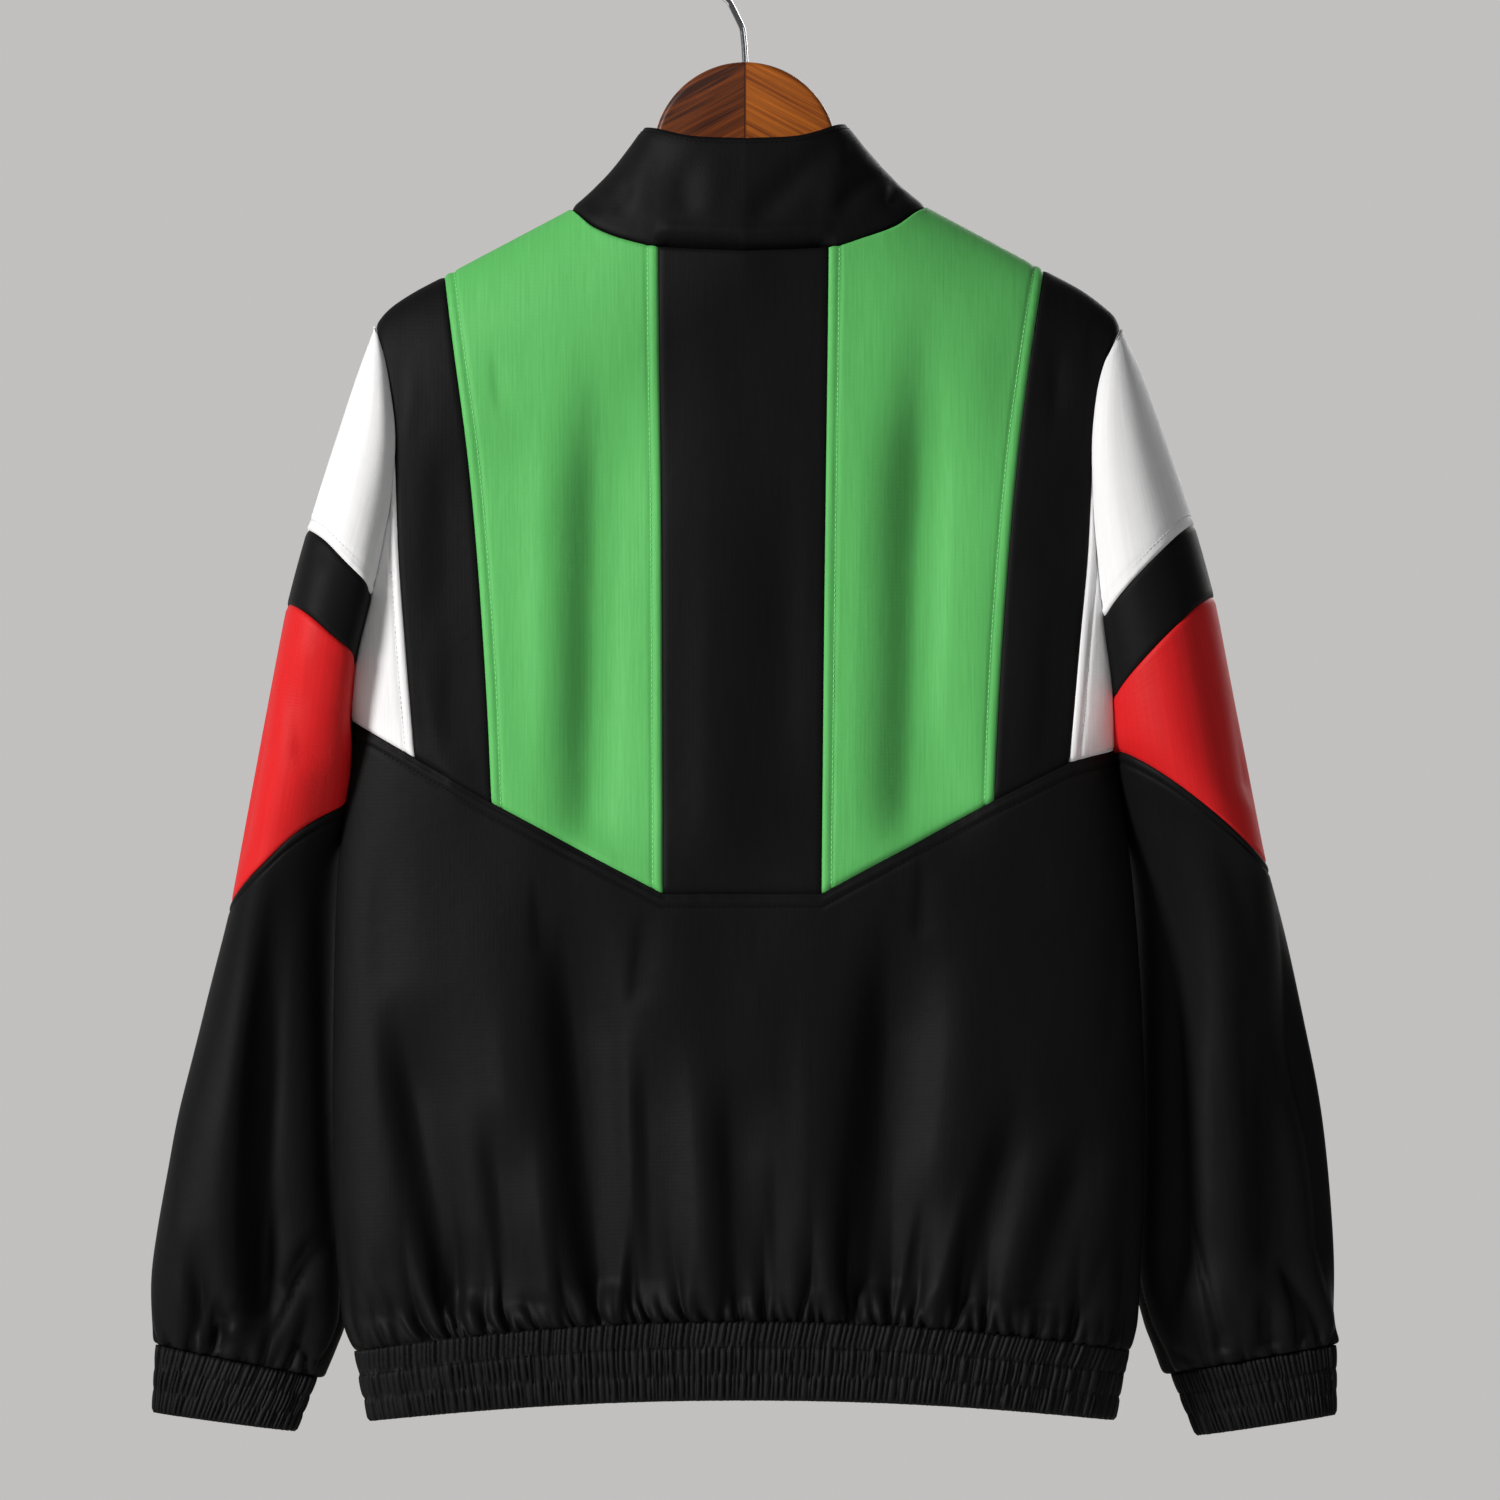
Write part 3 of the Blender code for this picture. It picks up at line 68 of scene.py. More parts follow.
# columns: x, z on the left, z on the right
SHOULDER_LINE = (
    (0, -103, -103), (106, -160.4, -157), (179, -199, -196), (203, -212, -209), (215, -221, -218),
    (221.4, -229.8, -224), (225, -238, -231.6),
)
TIP = (None, (221.4, -229.8), (225.0, -231.6))
UNDERARM = (None, (237.0, -465.6), (222.0, -483.6))
NECK_POINT = (None, 104.4, 108.6)

# columns: share of the way from the tip to the underarm, x on the left, x on the right
ARMHOLE = (
    (0.00, 221.4, 225), (0.07, 217, 216.5), (0.14, 213.6, 211.4), (0.29, 209.6, 207.8),
    (0.42, 211.6, 208.6), (0.55, 217, 211.4), (0.70, 224.6, 215), (0.86, 233.6, 220.4),
    (1.00, 237, 222),
)

# columns: z, x on the left, x on the right
BODY_SIDE = (
    (-887, 225, 221), (-843.6, 233, 229.6), (-838, 236.6, 232), (-824, 241.8, 235.6),
    (-803, 243.8, 237.2), (-785, 245.4, 238), (-755, 247, 239.5), (-695, 247.8, 240),
    (-635, 247.2, 238), (-563, 245.2, 232.8), (-522, 241.2, 227.5), (-483.6, 238.2, 222),
    (-465.6, 237, 220),
)

# columns: z, half depth of the body
BODY_DEPTH = (
    (-887, 39), (-843, 42), (-825, 42), (-805, 49), (-760, 52), (-640, 49), (-466, 45), (-100, 45),
)

SIDES = ((LEFT, "left"), (RIGHT, "right"))
print("underarms, x and z in mm:", UNDERARM[LEFT], UNDERARM[RIGHT])

# %% [markdown]
# ## Seams and necklines
# The back and the front are cut alike: two seams run down from each shoulder, and the yoke seam crosses
# below them in a shallow V. The necklines are the edge that the collar is sewn to. All of them are lines in
# the flat.

# %% Seams and necklines
# columns: z, x on the left, x on the right
CENTRE_SEAM = ((-569.0, 49.2, 45.6), (-420.0, 49.8, 47.0), (-183.0, 52.0, 50.0))
STRIP_SEAM = (
    (-515, 151.2, 148.2), (-451.8, 154.2, 151.2), (-379.8, 159, 156), (-307.8, 165.6, 162.6),
    (-235.8, 175.2, 172.2), (-195, 180.6, 179),
)
WHITE_SEAM = (
    (-489, 197.4, 194), (-415.8, 203.4, 200.4), (-361.8, 207.4, 205.2), (-298, 209.6, 207.8),
)
# The yoke seam's corners. columns: x on the left, z there, x on the right, z there
YOKE = (
    (49.2, -568.8, 45.6, -568.8), (151.2, -514.8, 148.2, -513.6), (197.4, -487.8, 194, -490.8),
    (237, -465.6, 222, -483.6),
)

# columns: x, z on the left, z on the right
BACK_NECKLINE = (
    (0, -186, -186), (52, -183, -183), (72, -178.5, -177), (90, -171, -170), (104.4, -159.6, -160),
    (108.6, -158, -158.4),
)
FRONT_NECKLINE = (
    (0, -240, -240), (30, -236, -236), (56, -226, -226), (80, -207, -207), (96, -184, -184),
    (104.4, -159.6, -172), (108.6, -150, -158.4),
)

print("the yoke seam falls", round(YOKE[3][1] - YOKE[0][1]), "mm from the side to the centre panel")

# %% [markdown]
# ## Large folds
# A jacket on a hanger falls in long soft troughs from the shoulders and from the yoke. Each has a row of
# its own, because folds that come from one formula look alike. What the eye places first is a fold's dark
# flank, so that is what a row gives the place of.

# %% The large folds
# columns: x of the dark flank at the top, and at the bottom, z of the top, z of the bottom, width, depth
BACK_FOLDS = (
    (97, 103, -226, -552, 34, 11), (150, 146, -222, -340, 40, 2.2), (-98, -86, -206, -552, 36, 12),
    (-148, -147, -216, -330, 36, 2), (-14, -15, -300, -566, 60, 4.5), (184, 188, -290, -420, 26, 2.4),
    (120, 97, -562, -823, 30, 16), (219, 181, -620, -824, 28, 14), (160, 140, -690, -824, 20, 7),
    (66, 60, -640, -823, 18, 7), (15, 11, -670, -822, 20, 7.5), (-80, -61, -566, -823, 32, 16),
    (-160, -119, -680, -823, 22, 8.5), (-198, -160, -700, -824, 22, 8),
)
# The hidden front has folds of its own, as uneven and a little shallower. The columns are the same
FRONT_FOLDS = (
    (92, 99, -260, -540, 26, 5), (-104, -92, -250, -552, 22, 5), (-150, -147, -225, -330, 16, 2),
    (128, 118, -580, -815, 24, 5), (196, 178, -640, -822, 22, 4), (60, 58, -710, -822, 18, 3),
    (-96, -84, -590, -822, 26, 5), (-150, -139, -700, -822, 18, 4), (-204, -188, -620, -815, 20, 4),
)

print(len(BACK_FOLDS), "large folds on the back,", len(FRONT_FOLDS), "on the front")

# %% [markdown]
# ## Reading the tables
# A table has a few rows, and the cloth needs hundreds of points between them. The reader draws a smooth
# line through the rows: a cubic whose slope at each row is a harmonic mean of the slopes beside it, and
# level at a peak. So the line never swings past a row, and a seam keeps the pattern's shape without bumps.

# %% Read a table smoothly
def curve(rows, at, column=1):
    """Read a smooth line through a table's rows, which never swings past its neighbours."""
    table = np.array([(row[0], row[column]) for row in rows], dtype=float)
    table = table[np.argsort(table[:, 0])]
    place, value = table[:, 0], table[:, 1]
    step = np.diff(place)
    slope = np.diff(value) / step
    tangent = np.zeros(len(place))
    tangent[0], tangent[-1] = slope[0], slope[-1]
    for i in range(1, len(place) - 1):
        if slope[i - 1] * slope[i] > 0:
            before, after = 2 * step[i] + step[i - 1], step[i] + 2 * step[i - 1]
            tangent[i] = (before + after) / (before / slope[i - 1] + after / slope[i])
    at = np.clip(np.asarray(at, dtype=float), place[0], place[-1])
    i = np.clip(np.searchsorted(place, at) - 1, 0, len(step) - 1)
    t = (at - place[i]) / step[i]
    ease = t * t * (3 - 2 * t)
    bend_in = t * (1 - t) ** 2 * step[i] * tangent[i]
    bend_out = t * t * (1 - t) * step[i] * tangent[i + 1]
    return value[i] * (1 - ease) + value[i + 1] * ease + bend_in - bend_out


def by_side(x, read):
    """Read a table on the side that x lies on."""
    return np.where(x >= 0, read(LEFT), read(RIGHT))


def sign(side):
    return 1.0 if side == LEFT else -1.0


chest = sum(float(curve(BODY_SIDE, -500.0, side)) for side in (LEFT, RIGHT))
print("width under the arms:", round(chest), "mm")

# %% [markdown]
# ## The body as a surface
# Laid flat, each point of the body has an x and a z. The functions below say how far the back or the front
# then stands from the middle plane: nothing at the shoulder line, full depth lower down, and less towards
# the armhole.

# %% The body's surface
def armhole_share(side, z):
    top, bottom = TIP[side][1], UNDERARM[side][1]
    return np.clip((top - z) / (top - bottom), 0.0, 1.0)


def armhole_point(side, share):
    z = TIP[side][1] + share * (UNDERARM[side][1] - TIP[side][1])
    return np.stack([sign(side) * curve(ARMHOLE, share, side), z], axis=-1)


def half_width(side, z):
    share = armhole_share(side, z)
    return np.where(z >= UNDERARM[side][1], curve(ARMHOLE, share, side), curve(BODY_SIDE, z, side))


def body_depth(x, z):
    """How far the body's smooth surface lies from the middle plane."""
    below = by_side(x, lambda side: curve(SHOULDER_LINE, abs(x), side)) - z
    over = 1 - np.clip(below, 0.0, SHOULDER_ROUND) / SHOULDER_ROUND
    round_over = np.sqrt(np.clip(1 - over * over, 0.0, 1.0))
    share = by_side(x, lambda side: armhole_share(side, z))
    across = np.clip(abs(x) / by_side(x, lambda side: half_width(side, z)), 0.0, 1.0)
    at_seam = ARMHOLE_DEPTH * np.sqrt(1 - share**3)
    edge = (1 - across**3) ** (1 - 0.5 * share * share)
    return round_over * (at_seam + (curve(BODY_DEPTH, z) - at_seam) * edge)


def smooth_body(face, flat):
    """The surface that the hem band lies on: the body's oval section with no fold."""
    x, z = flat[..., 0], flat[..., 1]
    width = by_side(x, lambda side: half_width(side, z))
    across = np.clip(abs(x) / width, 0.0, 1.0)
    return np.stack([x, face * curve(BODY_DEPTH, z) * np.sqrt(1 - across**3), z], axis=-1)


def hem_z(edge, x):
    """The height of the hem band's top (0) or bottom (1) edge."""
    return HEM_BAND_CENTRE[edge] - HEM_BAND_DROP[edge] * (abs(x) / HALF_HEM) ** 2.1


def neck_z(face, side, x):
    return curve(BACK_NECKLINE if face > 0 else FRONT_NECKLINE, abs(np.asarray(x)), side)


print("the body is", round(float(2 * body_depth(np.array(0.0), np.array(-640.0)))), "mm deep at the waist")

# %% [markdown]
# ## The shape of a fold
# One flank of a trough falls steeply and the other slowly. The light comes from the wearer's left, so the
# flank on that side is the dark one, and it is the steep one here. A fold starts slowly and fades before it
# meets a seam or the garment's side, since the cloth there is held.

# %% Folds from their tables
def soft_step(share):
    share = np.clip(share, 0.0, 1.0)
    return share * share * (3 - 2 * share)


# shares of a fold's width: from its middle to its dark flank, then how wide its steep and its slow flank are
FLANK_SHIFT, STEEP, SLOW = 0.35, 0.5, 1.1


def one_sided(x, dark, width):
    """A trough's section, steep towards +x and twice as slow towards -x. Its dark flank lies at x = dark."""
    away = x - (dark - FLANK_SHIFT * width)
    return np.exp(-((away / np.where(away > 0, STEEP * width, SLOW * width)) ** 2))


def free_cloth(x, z):
    """1 over the body, falling to 0 at its side, where a seam holds the cloth."""
    width = by_side(x, lambda side: half_width(side, z))
    return np.clip((1 - abs(x) / width) * 8, 0.0, 1.0)


def fold_depth(folds, x, z):
    """The troughs of a fold table: a slow start, a quicker end, and nothing at the garment's sides."""
    total = np.zeros_like(x)
    for x_top, x_bottom, z_top, z_bottom, width, depth in folds:
        along = np.clip((z_top - z) / (z_top - z_bottom), 0.0, 1.0)
        centre = x_top + (x_bottom - x_top) * along
        ends_in_panel = z_bottom > -500
        fade = soft_step(along / 0.36) * soft_step((1 - along) / (0.3 if ends_in_panel else 0.1))
        total += depth * fade * one_sided(x, centre, width)
    return total * free_cloth(x, z)


print("deepest fold of the back:", max(row[-1] for row in BACK_FOLDS), "mm")

# %% [markdown]
# ## Small creases
# A thin polyester jacket never hangs smooth. Beside the large folds it has soft, long creases of uneven
# depth. They are listed one by one as rows of a table, where a negative depth makes a ridge. Most lie in the
# lower back, where the gathers of the hem draw the cloth together.

# %% Small creases
# columns: x of the dark flank at the top and at the bottom, bow sideways, z of the top and of the bottom,
# width, depth
BACK_CREASES = (
    (122, 126, 3, -230, -520, 20, -2.2), (74, 80, -3, -300, -560, 18, -1.6),
    (151, 147, 2, -236, -284, 6, 1), (-118, -112, -4, -205, -505, 18, -2.4),
    (-68, -60, 2, -240, -555, 20, -1.8), (-146, -141, -3, -330, -515, 16, 1.4),
    (-34, -28, 0, -240, -520, 22, -1.4), (27, 30, 0, -290, -560, 22, -1.4),
    (199, 206, 0, -246, -304, 5, -1.6), (-206, -205, 1.5, -222, -266, 5, 1.8),
    (-181, -183, 0, -232, -290, 9, 1.8), (176, 182, 2, -400, -500, 14, 1.4),
    (196, 172, 3, -430, -520, 12, -1.2), (-176, -172, -3, -380, -500, 14, 1.4),
    (84, 74, -5, -575, -818, 18, -3), (73, 76, 1, -765, -832, 4, -1.4),
    (150, 139, 5, -600, -800, 22, -2.2), (238, 212, 3, -792, -830, 6, 2),
    (226, 206, 4, -775, -826, 9, 1.8), (186, 170, 6, -640, -800, 22, -2.4),
    (129, 118, 2, -700, -826, 12, -1.8), (40, 34, -3, -640, -822, 14, -1.8),
    (-13, -17, 0, -706, -828, 11, 2.8), (-30, -38, 3, -600, -822, 22, -2.8),
    (-107, -91, 0, -742, -828, 9, 3), (-112, -96, -8, -590, -760, 24, -2.6),
    (-132, -105, -3, -720, -826, 12, -2), (-172, -142, -6, -640, -822, 20, -2),
    (-208, -182, -3, -690, -822, 16, -1.6), (-222, -196, 0, -760, -830, 10, 2.2),
    (-222, -214, 0, -560, -680, 14, 1.4), (222, 226, 0, -520, -640, 14, 1.4),
    (62, 70, 0, -570, -640, 10, 1.6), (128, 124, 0, -556, -610, 8, 1.6),
    (-104, -100, 0, -540, -600, 8, 1.4),
)
FRONT_CREASES = (
    (116, 121, 4, -240, -520, 20, -1.6), (64, 70, 0, -300, -550, 18, 1.1),
    (-122, -114, -3, -230, -500, 18, -1.6), (-66, -60, 2, -280, -540, 18, 1.2),
    (150, 146, 3, -330, -500, 14, 1), (104, 98, -4, -600, -805, 20, -2.2),
    (86, 80, 3, -690, -822, 14, 1.8), (152, 146, 4, -720, -822, 14, 2),
    (-74, -64, 3, -610, -810, 20, -2.2), (-122, -112, -4, -700, -822, 16, 2),
    (-176, -166, -3, -640, -815, 16, -1.4), (34, 33, 2, -650, -820, 14, 1.3),
    (-36, -32, -2, -670, -820, 14, 1.4), (224, 212, 0, -640, -815, 12, 1.5),
)
print(len(BACK_CREASES), "small creases on the back,", len(FRONT_CREASES), "on the front")

# %% [markdown]
# ## The finished surface
# Slow waves run under the creases, as they do in any thin cloth that hangs free. They are a sum of six long
# sines of unequal length and lean, so that they never repeat over the garment. Smooth form, folds, creases
# and waves then add up to how far a point stands from the middle plane.

# %% Lift the flat pattern
def crease_depth(creases, x, z):
    """The small creases of a table, each fading towards both of its ends."""
    total = np.zeros_like(x)
    for x_top, x_bottom, bow, z_top, z_bottom, width, depth in creases:
        along = np.clip((z_top - z) / (z_top - z_bottom), 0.0, 1.0)
        centre = x_top + (x_bottom - x_top) * along + bow * np.sin(math.pi * along)
        fade = soft_step(along / 0.5) * soft_step((1 - along) / 0.22)
        total += depth * fade * one_sided(x, centre, width)
    return total


def slow_waves(x, z, size=1.0):
    """Long, shallow waves, mostly upright, as thin cloth has between its folds."""
    waves = (  # columns: turn for each mm of x, and of z, phase, height in mm
        (0.071, 0.009, 0.4, 0.30), (0.047, -0.013, 1.9, 0.34), (0.113, 0.021, 4.1, 0.16),
        (0.024, 0.031, 2.7, 0.34), (0.160, -0.030, 5.2, 0.09), (0.061, 0.052, 0.9, 0.15),
    )
    return size * sum(part * np.sin(a * x + b * z + phase) for a, b, phase, part in waves)


def body_point(face, flat):
    """Lift flat (x, z) points to the back (face +1) or the front (face -1), with every fold and crease."""
    x, z = flat[..., 0], flat[..., 1]
    smooth = body_depth(x, z)
    large, small = (BACK_FOLDS, BACK_CREASES) if face > 0 else (FRONT_FOLDS, FRONT_CREASES)
    above_band = np.clip((z - hem_z(0, x)) / 12, 0.0, 1.0)
    fine = (crease_depth(small, x, z) - slow_waves(x, z + 300 * face)) * free_cloth(x, z) * above_band
    below_shoulder = np.clip(smooth / 30, 0.0, 1.0)  # nothing where the cloth lies over the hanger
    depth = smooth - (fold_depth(large, x, z) + fine) * below_shoulder
    return np.stack([x, face * depth, z], axis=-1)


# %% [markdown]
# ## One piece of cloth
# Each cut piece is a grid of points, filled in between its borders. The first helpers spread points along a
# line, closer together where the form is finer, and fill a flat grid between four such lines.

# %% Lines and grids
def shares(count, ease=1.0):
    """Shares from 0 to 1. An ease above 1 sets them closer at the start, and "ends" closer at both ends."""
    even = np.linspace(0.0, 1.0, count)
    return even - 0.6 * np.sin(2 * math.pi * even) / (2 * math.pi) if ease == "ends" else even**ease


def run_of(points):
    """How far each point lies along its line."""
    return np.concatenate([[0.0], np.cumsum(np.linalg.norm(np.diff(points, axis=0), axis=1))])


def read_line(values, run, at):
    """Read a line at distances along it. run is the distance of each of the line's own points."""
    return np.stack([np.interp(at, run, values[:, axis]) for axis in range(values.shape[1])], axis=-1)


def resample(points, count, ease=1.0):
    """Spread count points along a line."""
    points = np.asarray(points, dtype=float)
    run = run_of(points)
    return read_line(points, run, run[-1] * shares(count, ease))


def coons(top, bottom, left, right, ease=1.0):
    """Fill four flat edges with a grid. Each was spread with the same ease, and they share their corners."""
    u = np.linspace(0.0, 1.0, len(top))[None, :, None]
    v = shares(len(left), ease)[:, None, None]
    sides = (1 - u) * left[:, None] + u * right[:, None]
    ends = (1 - v) * top[None] + v * bottom[None]
    corners = (1 - v) * ((1 - u) * top[0] + u * top[-1]) + v * ((1 - u) * bottom[0] + u * bottom[-1])
    return sides + ends - corners


print("five shares, closer at both ends:", shares(5, "ends").round(2))

# %% [markdown]
# ## Seams and topstitching
# From the grid come its outward normals and how far each point is from the four edges, which is all that a
# seam needs. Near a seam the cloth is pulled in, by a narrow bell of depth. A row of topstitching sinks a
# groove, and the strip beside it puckers in short uneven waves, because thread is drawn a little tighter
# than cloth.

# %% The cloth piece
class Cloth:
    """A grid of points in rows from top to bottom, its normals, and each point's distance from every edge."""

    def __init__(self, name, grid, inside, flat):
        self.name, self.grid, self.flat = name, np.array(grid, dtype=float), flat
        across, down = np.gradient(self.grid, axis=1), np.gradient(self.grid, axis=0)
        normal = np.cross(across, down)
        size = np.linalg.norm(normal, axis=2, keepdims=True)
        normal = normal / np.maximum(size, 1e-9)
        self.pole = size[0].max() < 1e-6 or size[0].mean() < 0.02 * size[1].mean()
        if self.pole:  # the first row is one corner
            normal[0] = normal[1]
        self.turned = float(np.sum(normal * (self.grid - np.asarray(inside)))) < 0
        self.normal = -normal if self.turned else normal
        steps = np.linalg.norm(np.diff(self.grid, axis=1), axis=2)
        first = np.concatenate([np.zeros((len(grid), 1)), np.cumsum(steps, axis=1)], axis=1)
        steps = np.linalg.norm(np.diff(self.grid, axis=0), axis=2)
        top = np.concatenate([np.zeros((1, self.grid.shape[1])), np.cumsum(steps, axis=0)], axis=0)
        self.away = {"first": first, "end": first[:, -1:] - first, "top": top, "bottom": top[-1:] - top}

    def push(self, distance):
        """Move each point outwards by its distance."""
        self.grid += self.normal * np.asarray(distance)[..., None]

    def sew(self, edges, depth=0.9, width=1.5):
        """Pull the cloth in along its sewn edges."""
        for edge in edges:
            self.push(-depth * np.exp(-((self.away[edge] / width) ** 2)))

    def topstitch(self, edge, inset, thread, pucker=0.22):
        """Sink a line of stitches, pucker the strip beside the seam and remember the line for its thread."""
        away = self.away[edge]
        along = self.away["top" if edge in ("first", "end") else "first"]
        wander = 2.2 * np.sin(along / 17.0) + 1.3 * np.sin(along / 7.3 + 1.0)  # so no two waves are alike
        waves = np.sin((along + wander) / 1.55) * (0.6 + 0.4 * np.sin(along / 29.0))
        strip = np.clip(1 - away / inset, 0.0, 1.0) * np.clip(away / 1.5, 0.0, 1.0)
        self.push(-0.9 * np.exp(-(((away - inset) / 1.25) ** 2)) + pucker * waves * strip + 0.4 * strip)
        stitch_lines[thread].append(self.line(edge, inset))

    def line(self, edge, inset):
        """The points and normals at a distance from one edge, where the piece is wide enough for it."""
        turned = edge in ("top", "bottom")
        grid, normal, away = self.grid, self.normal, self.away[edge]
        if turned:
            grid, normal, away = grid.transpose(1, 0, 2), normal.transpose(1, 0, 2), away.T
        if edge in ("end", "bottom"):
            grid, normal, away = grid[:, ::-1], normal[:, ::-1], away[:, ::-1]
        keep = [i for i in range(len(grid)) if away[i, -1] > 2.5 * inset]
        read = [
            [np.interp(inset, away[i], values[i, :, axis]) for axis in range(3)]
            for i in keep
            for values in (grid, normal)
        ]
        return np.array(read[0::2]), np.array(read[1::2])


print("a cloth piece can", [name for name in vars(Cloth) if name[0] != "_"])

# %% [markdown]
# ## Thickness
# A second grid inside, coarser unless an edge is turned, is joined to the outer one round the rim. A turned
# edge is round, so both grids come together there. The flat pattern goes along as UV coordinates in metres,
# so the weave has its true size and follows the cloth.

# %% Build the shell
def close_pole(mesh):
    """Merge the points of a row that comes together in one corner."""
    shape = bmesh.new()
    shape.from_mesh(mesh)
    bmesh.ops.remove_doubles(shape, verts=shape.verts, dist=1e-6)
    bmesh.ops.dissolve_degenerate(shape, dist=1e-7, edges=shape.edges)
    shape.to_mesh(mesh)
    shape.free()


def build_shell(cloth, look, thickness, rounded):
    """Make the mesh: the outer grid, an inner one of fewer points and the rim between them."""
    outer, inner = cloth.grid, cloth.grid - cloth.normal * thickness
    for edge in rounded:  # a turned edge is round, so both sides come together there
        radius = 0.5 * thickness
        near = np.clip(1 - cloth.away[edge] / (1.6 * radius), 0.0, 1.0)
        close = (radius - 0.15) * (1 - np.sqrt(1 - near**2))[..., None]
        outer, inner = outer - cloth.normal * close, inner + cloth.normal * close
    if cloth.pole:
        outer[0], inner[0] = outer[1].mean(axis=0), inner[1].mean(axis=0)
    rows, columns = cloth.grid.shape[:2]
    step = 1 if rounded else 2  # the inside is flatter, so every second point is enough
    down, over = (np.unique(np.append(np.arange(0, size, step), size - 1)) for size in (rows, columns))
    index = np.arange(rows * columns).reshape(rows, columns)
    under = np.arange(len(down) * len(over)).reshape(len(down), len(over)) + rows * columns
    faces = []
    for net, turn in ((index, 1), (under, -1)):
        corners = (net[:-1, :-1], net[:-1, 1:], net[1:, 1:], net[1:, :-1])
        faces += np.stack(corners[::turn], axis=-1).reshape(-1, 4).tolist()
    rims = (
        (index[0], under[0], over, 1), (index[-1], under[-1], over, -1),
        (index[:, 0], under[:, 0], down, -1), (index[:, -1], under[:, -1], down, 1),
    )
    for edge, low, stops, turn in rims:
        for i in range(len(stops) - 1):
            ring = edge[stops[i] : stops[i + 1] + 1].tolist() + [int(low[i + 1]), int(low[i])]
            faces.append(ring[:: -turn])
    if cloth.turned:
        faces = [face[::-1] for face in faces]
    pick_inner = np.ix_(down, over)
    mesh = bpy.data.meshes.new(cloth.name)
    points = np.concatenate([outer.reshape(-1, 3), inner[pick_inner].reshape(-1, 3)]) * MM
    mesh.from_pydata(points.tolist(), [], faces)
    weave = mesh.uv_layers.new(name="weave")
    flat = np.concatenate([cloth.flat.reshape(-1, 2), cloth.flat[pick_inner].reshape(-1, 2)]) * MM
    corner = np.zeros(len(mesh.loops), dtype=np.int32)
    mesh.loops.foreach_get("vertex_index", corner)
    weave.data.foreach_set("uv", flat[corner].astype(np.float32).ravel())
    mesh.materials.append(look)
    made = bpy.data.objects.new(cloth.name, mesh)
    bpy.context.collection.objects.link(made)
    close_pole(mesh)
    mesh.shade_smooth()
    return made


print("shells are", CLOTH, "mm thick where the cloth is single")

# %% [markdown]
# ## Finishing a piece
# Every finished piece rides on the jacket's body, takes the place of its CAD node, and records the flat size
# it was cut to in a table. That size is measured along the grid. A gathered or shirred piece was cut wider
# than it looks, by its fullness, and its area is the sum of the grid's cells times that.

# %% Finish a piece
stitch_lines = {"green": [], "white": [], "black": []}  # filled by topstitch, read by the cell on thread
pieces = {}
flat_sizes = {}
LEAST_SHARE = 0.31  # of its bounding rectangle; a sheet's stated area is never under this, nor over all of it


def finish_cloth(
    cloth, look, node, thickness=CLOTH, rounded=(), fullness=1.0
):
    """Build a piece, let it ride on the jacket and replace its CAD node, and record the size it was cut to.
    """
    made = build_shell(cloth, look, thickness, rounded)
    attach(made, "jacket")
    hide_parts(node)
    length, width = float(cloth.away["top"][-1].max()), float(cloth.away["first"][:, -1].max())
    cells = 0.5 * np.linalg.norm(
        np.cross(cloth.grid[1:, 1:] - cloth.grid[:-1, :-1], cloth.grid[1:, :-1] - cloth.grid[:-1, 1:]), axis=2
    )
    area = float(cells.sum()) * fullness * MM * MM
    width, length = round(width * fullness * MM, 4), round(length * MM, 4)
    area = min(max(area, LEAST_SHARE * width * length), width * length)
    pieces[node] = made
    flat_sizes[node] = (width, length, round(area, 4))
    return made


print("threads to sew with:", list(stitch_lines))

# %% [markdown]
# ## Making materials
# A material is a small tree of nodes. One helper adds a node, sets it and links what feeds it. Three more
# make what every finish here needs: a cloudy noise, an uneven roughness and a relief. Colours are sRGB hex
# codes, turned to the linear light that the shader works in.

# %% Material helpers
def linear(code):
    """An sRGB hex colour as linear light."""
    parts = [int(code[i : i + 2], 16) / 255 for i in (1, 3, 5)]
    return [c / 12.92 if c <= 0.04045 else ((c + 0.055) / 1.055) ** 2.4 for c in parts] + [1.0]


def add_node(tree, kind, settings=None, links=None, **values):
    """Add a node, set its properties and sockets, and link other nodes' outputs to its sockets."""
    node = tree.nodes.new(kind)
    for key, value in (settings or {}).items():
        setattr(node, key, value)
    for key, value in values.items():
        node.inputs[key.replace("_", " ")].default_value = value
    for key, source in (links or {}).items():
        tree.links.new(source, node.inputs[key])
    return node


def start_material(name):
    found = bpy.data.materials.new(name)
    found.use_nodes = True
    tree = found.node_tree
    return found, tree, tree.nodes["Principled BSDF"]


def noise(tree, place, scale, detail, **values):
    """A cloudy grey value."""
    node = add_node(tree, "ShaderNodeTexNoise", links={"Vector": place}, Scale=scale, Detail=detail, **values)
    return node.outputs[0]


def vary_roughness(tree, shader, source, low, high):
    """Let a grey value move the roughness between two limits."""
    spread = add_node(tree, "ShaderNodeMapRange", links={"Value": source}, To_Min=low, To_Max=high)
    tree.links.new(spread.outputs[0], shader.inputs["Roughness"])


def add_relief(tree, shader, height, strength, distance):
    """Let a grey value raise the surface. A relief that is there already goes under the new one."""
    relief = add_node(tree, "ShaderNodeBump", links={"Height": height}, Strength=strength, Distance=distance)
    for link in shader.inputs["Normal"].links:
        tree.links.new(link.from_socket, relief.inputs["Normal"])
    tree.links.new(relief.outputs[0], shader.inputs["Normal"])


print("mid grey #808080 as linear light:", round(linear("#808080")[0], 3))

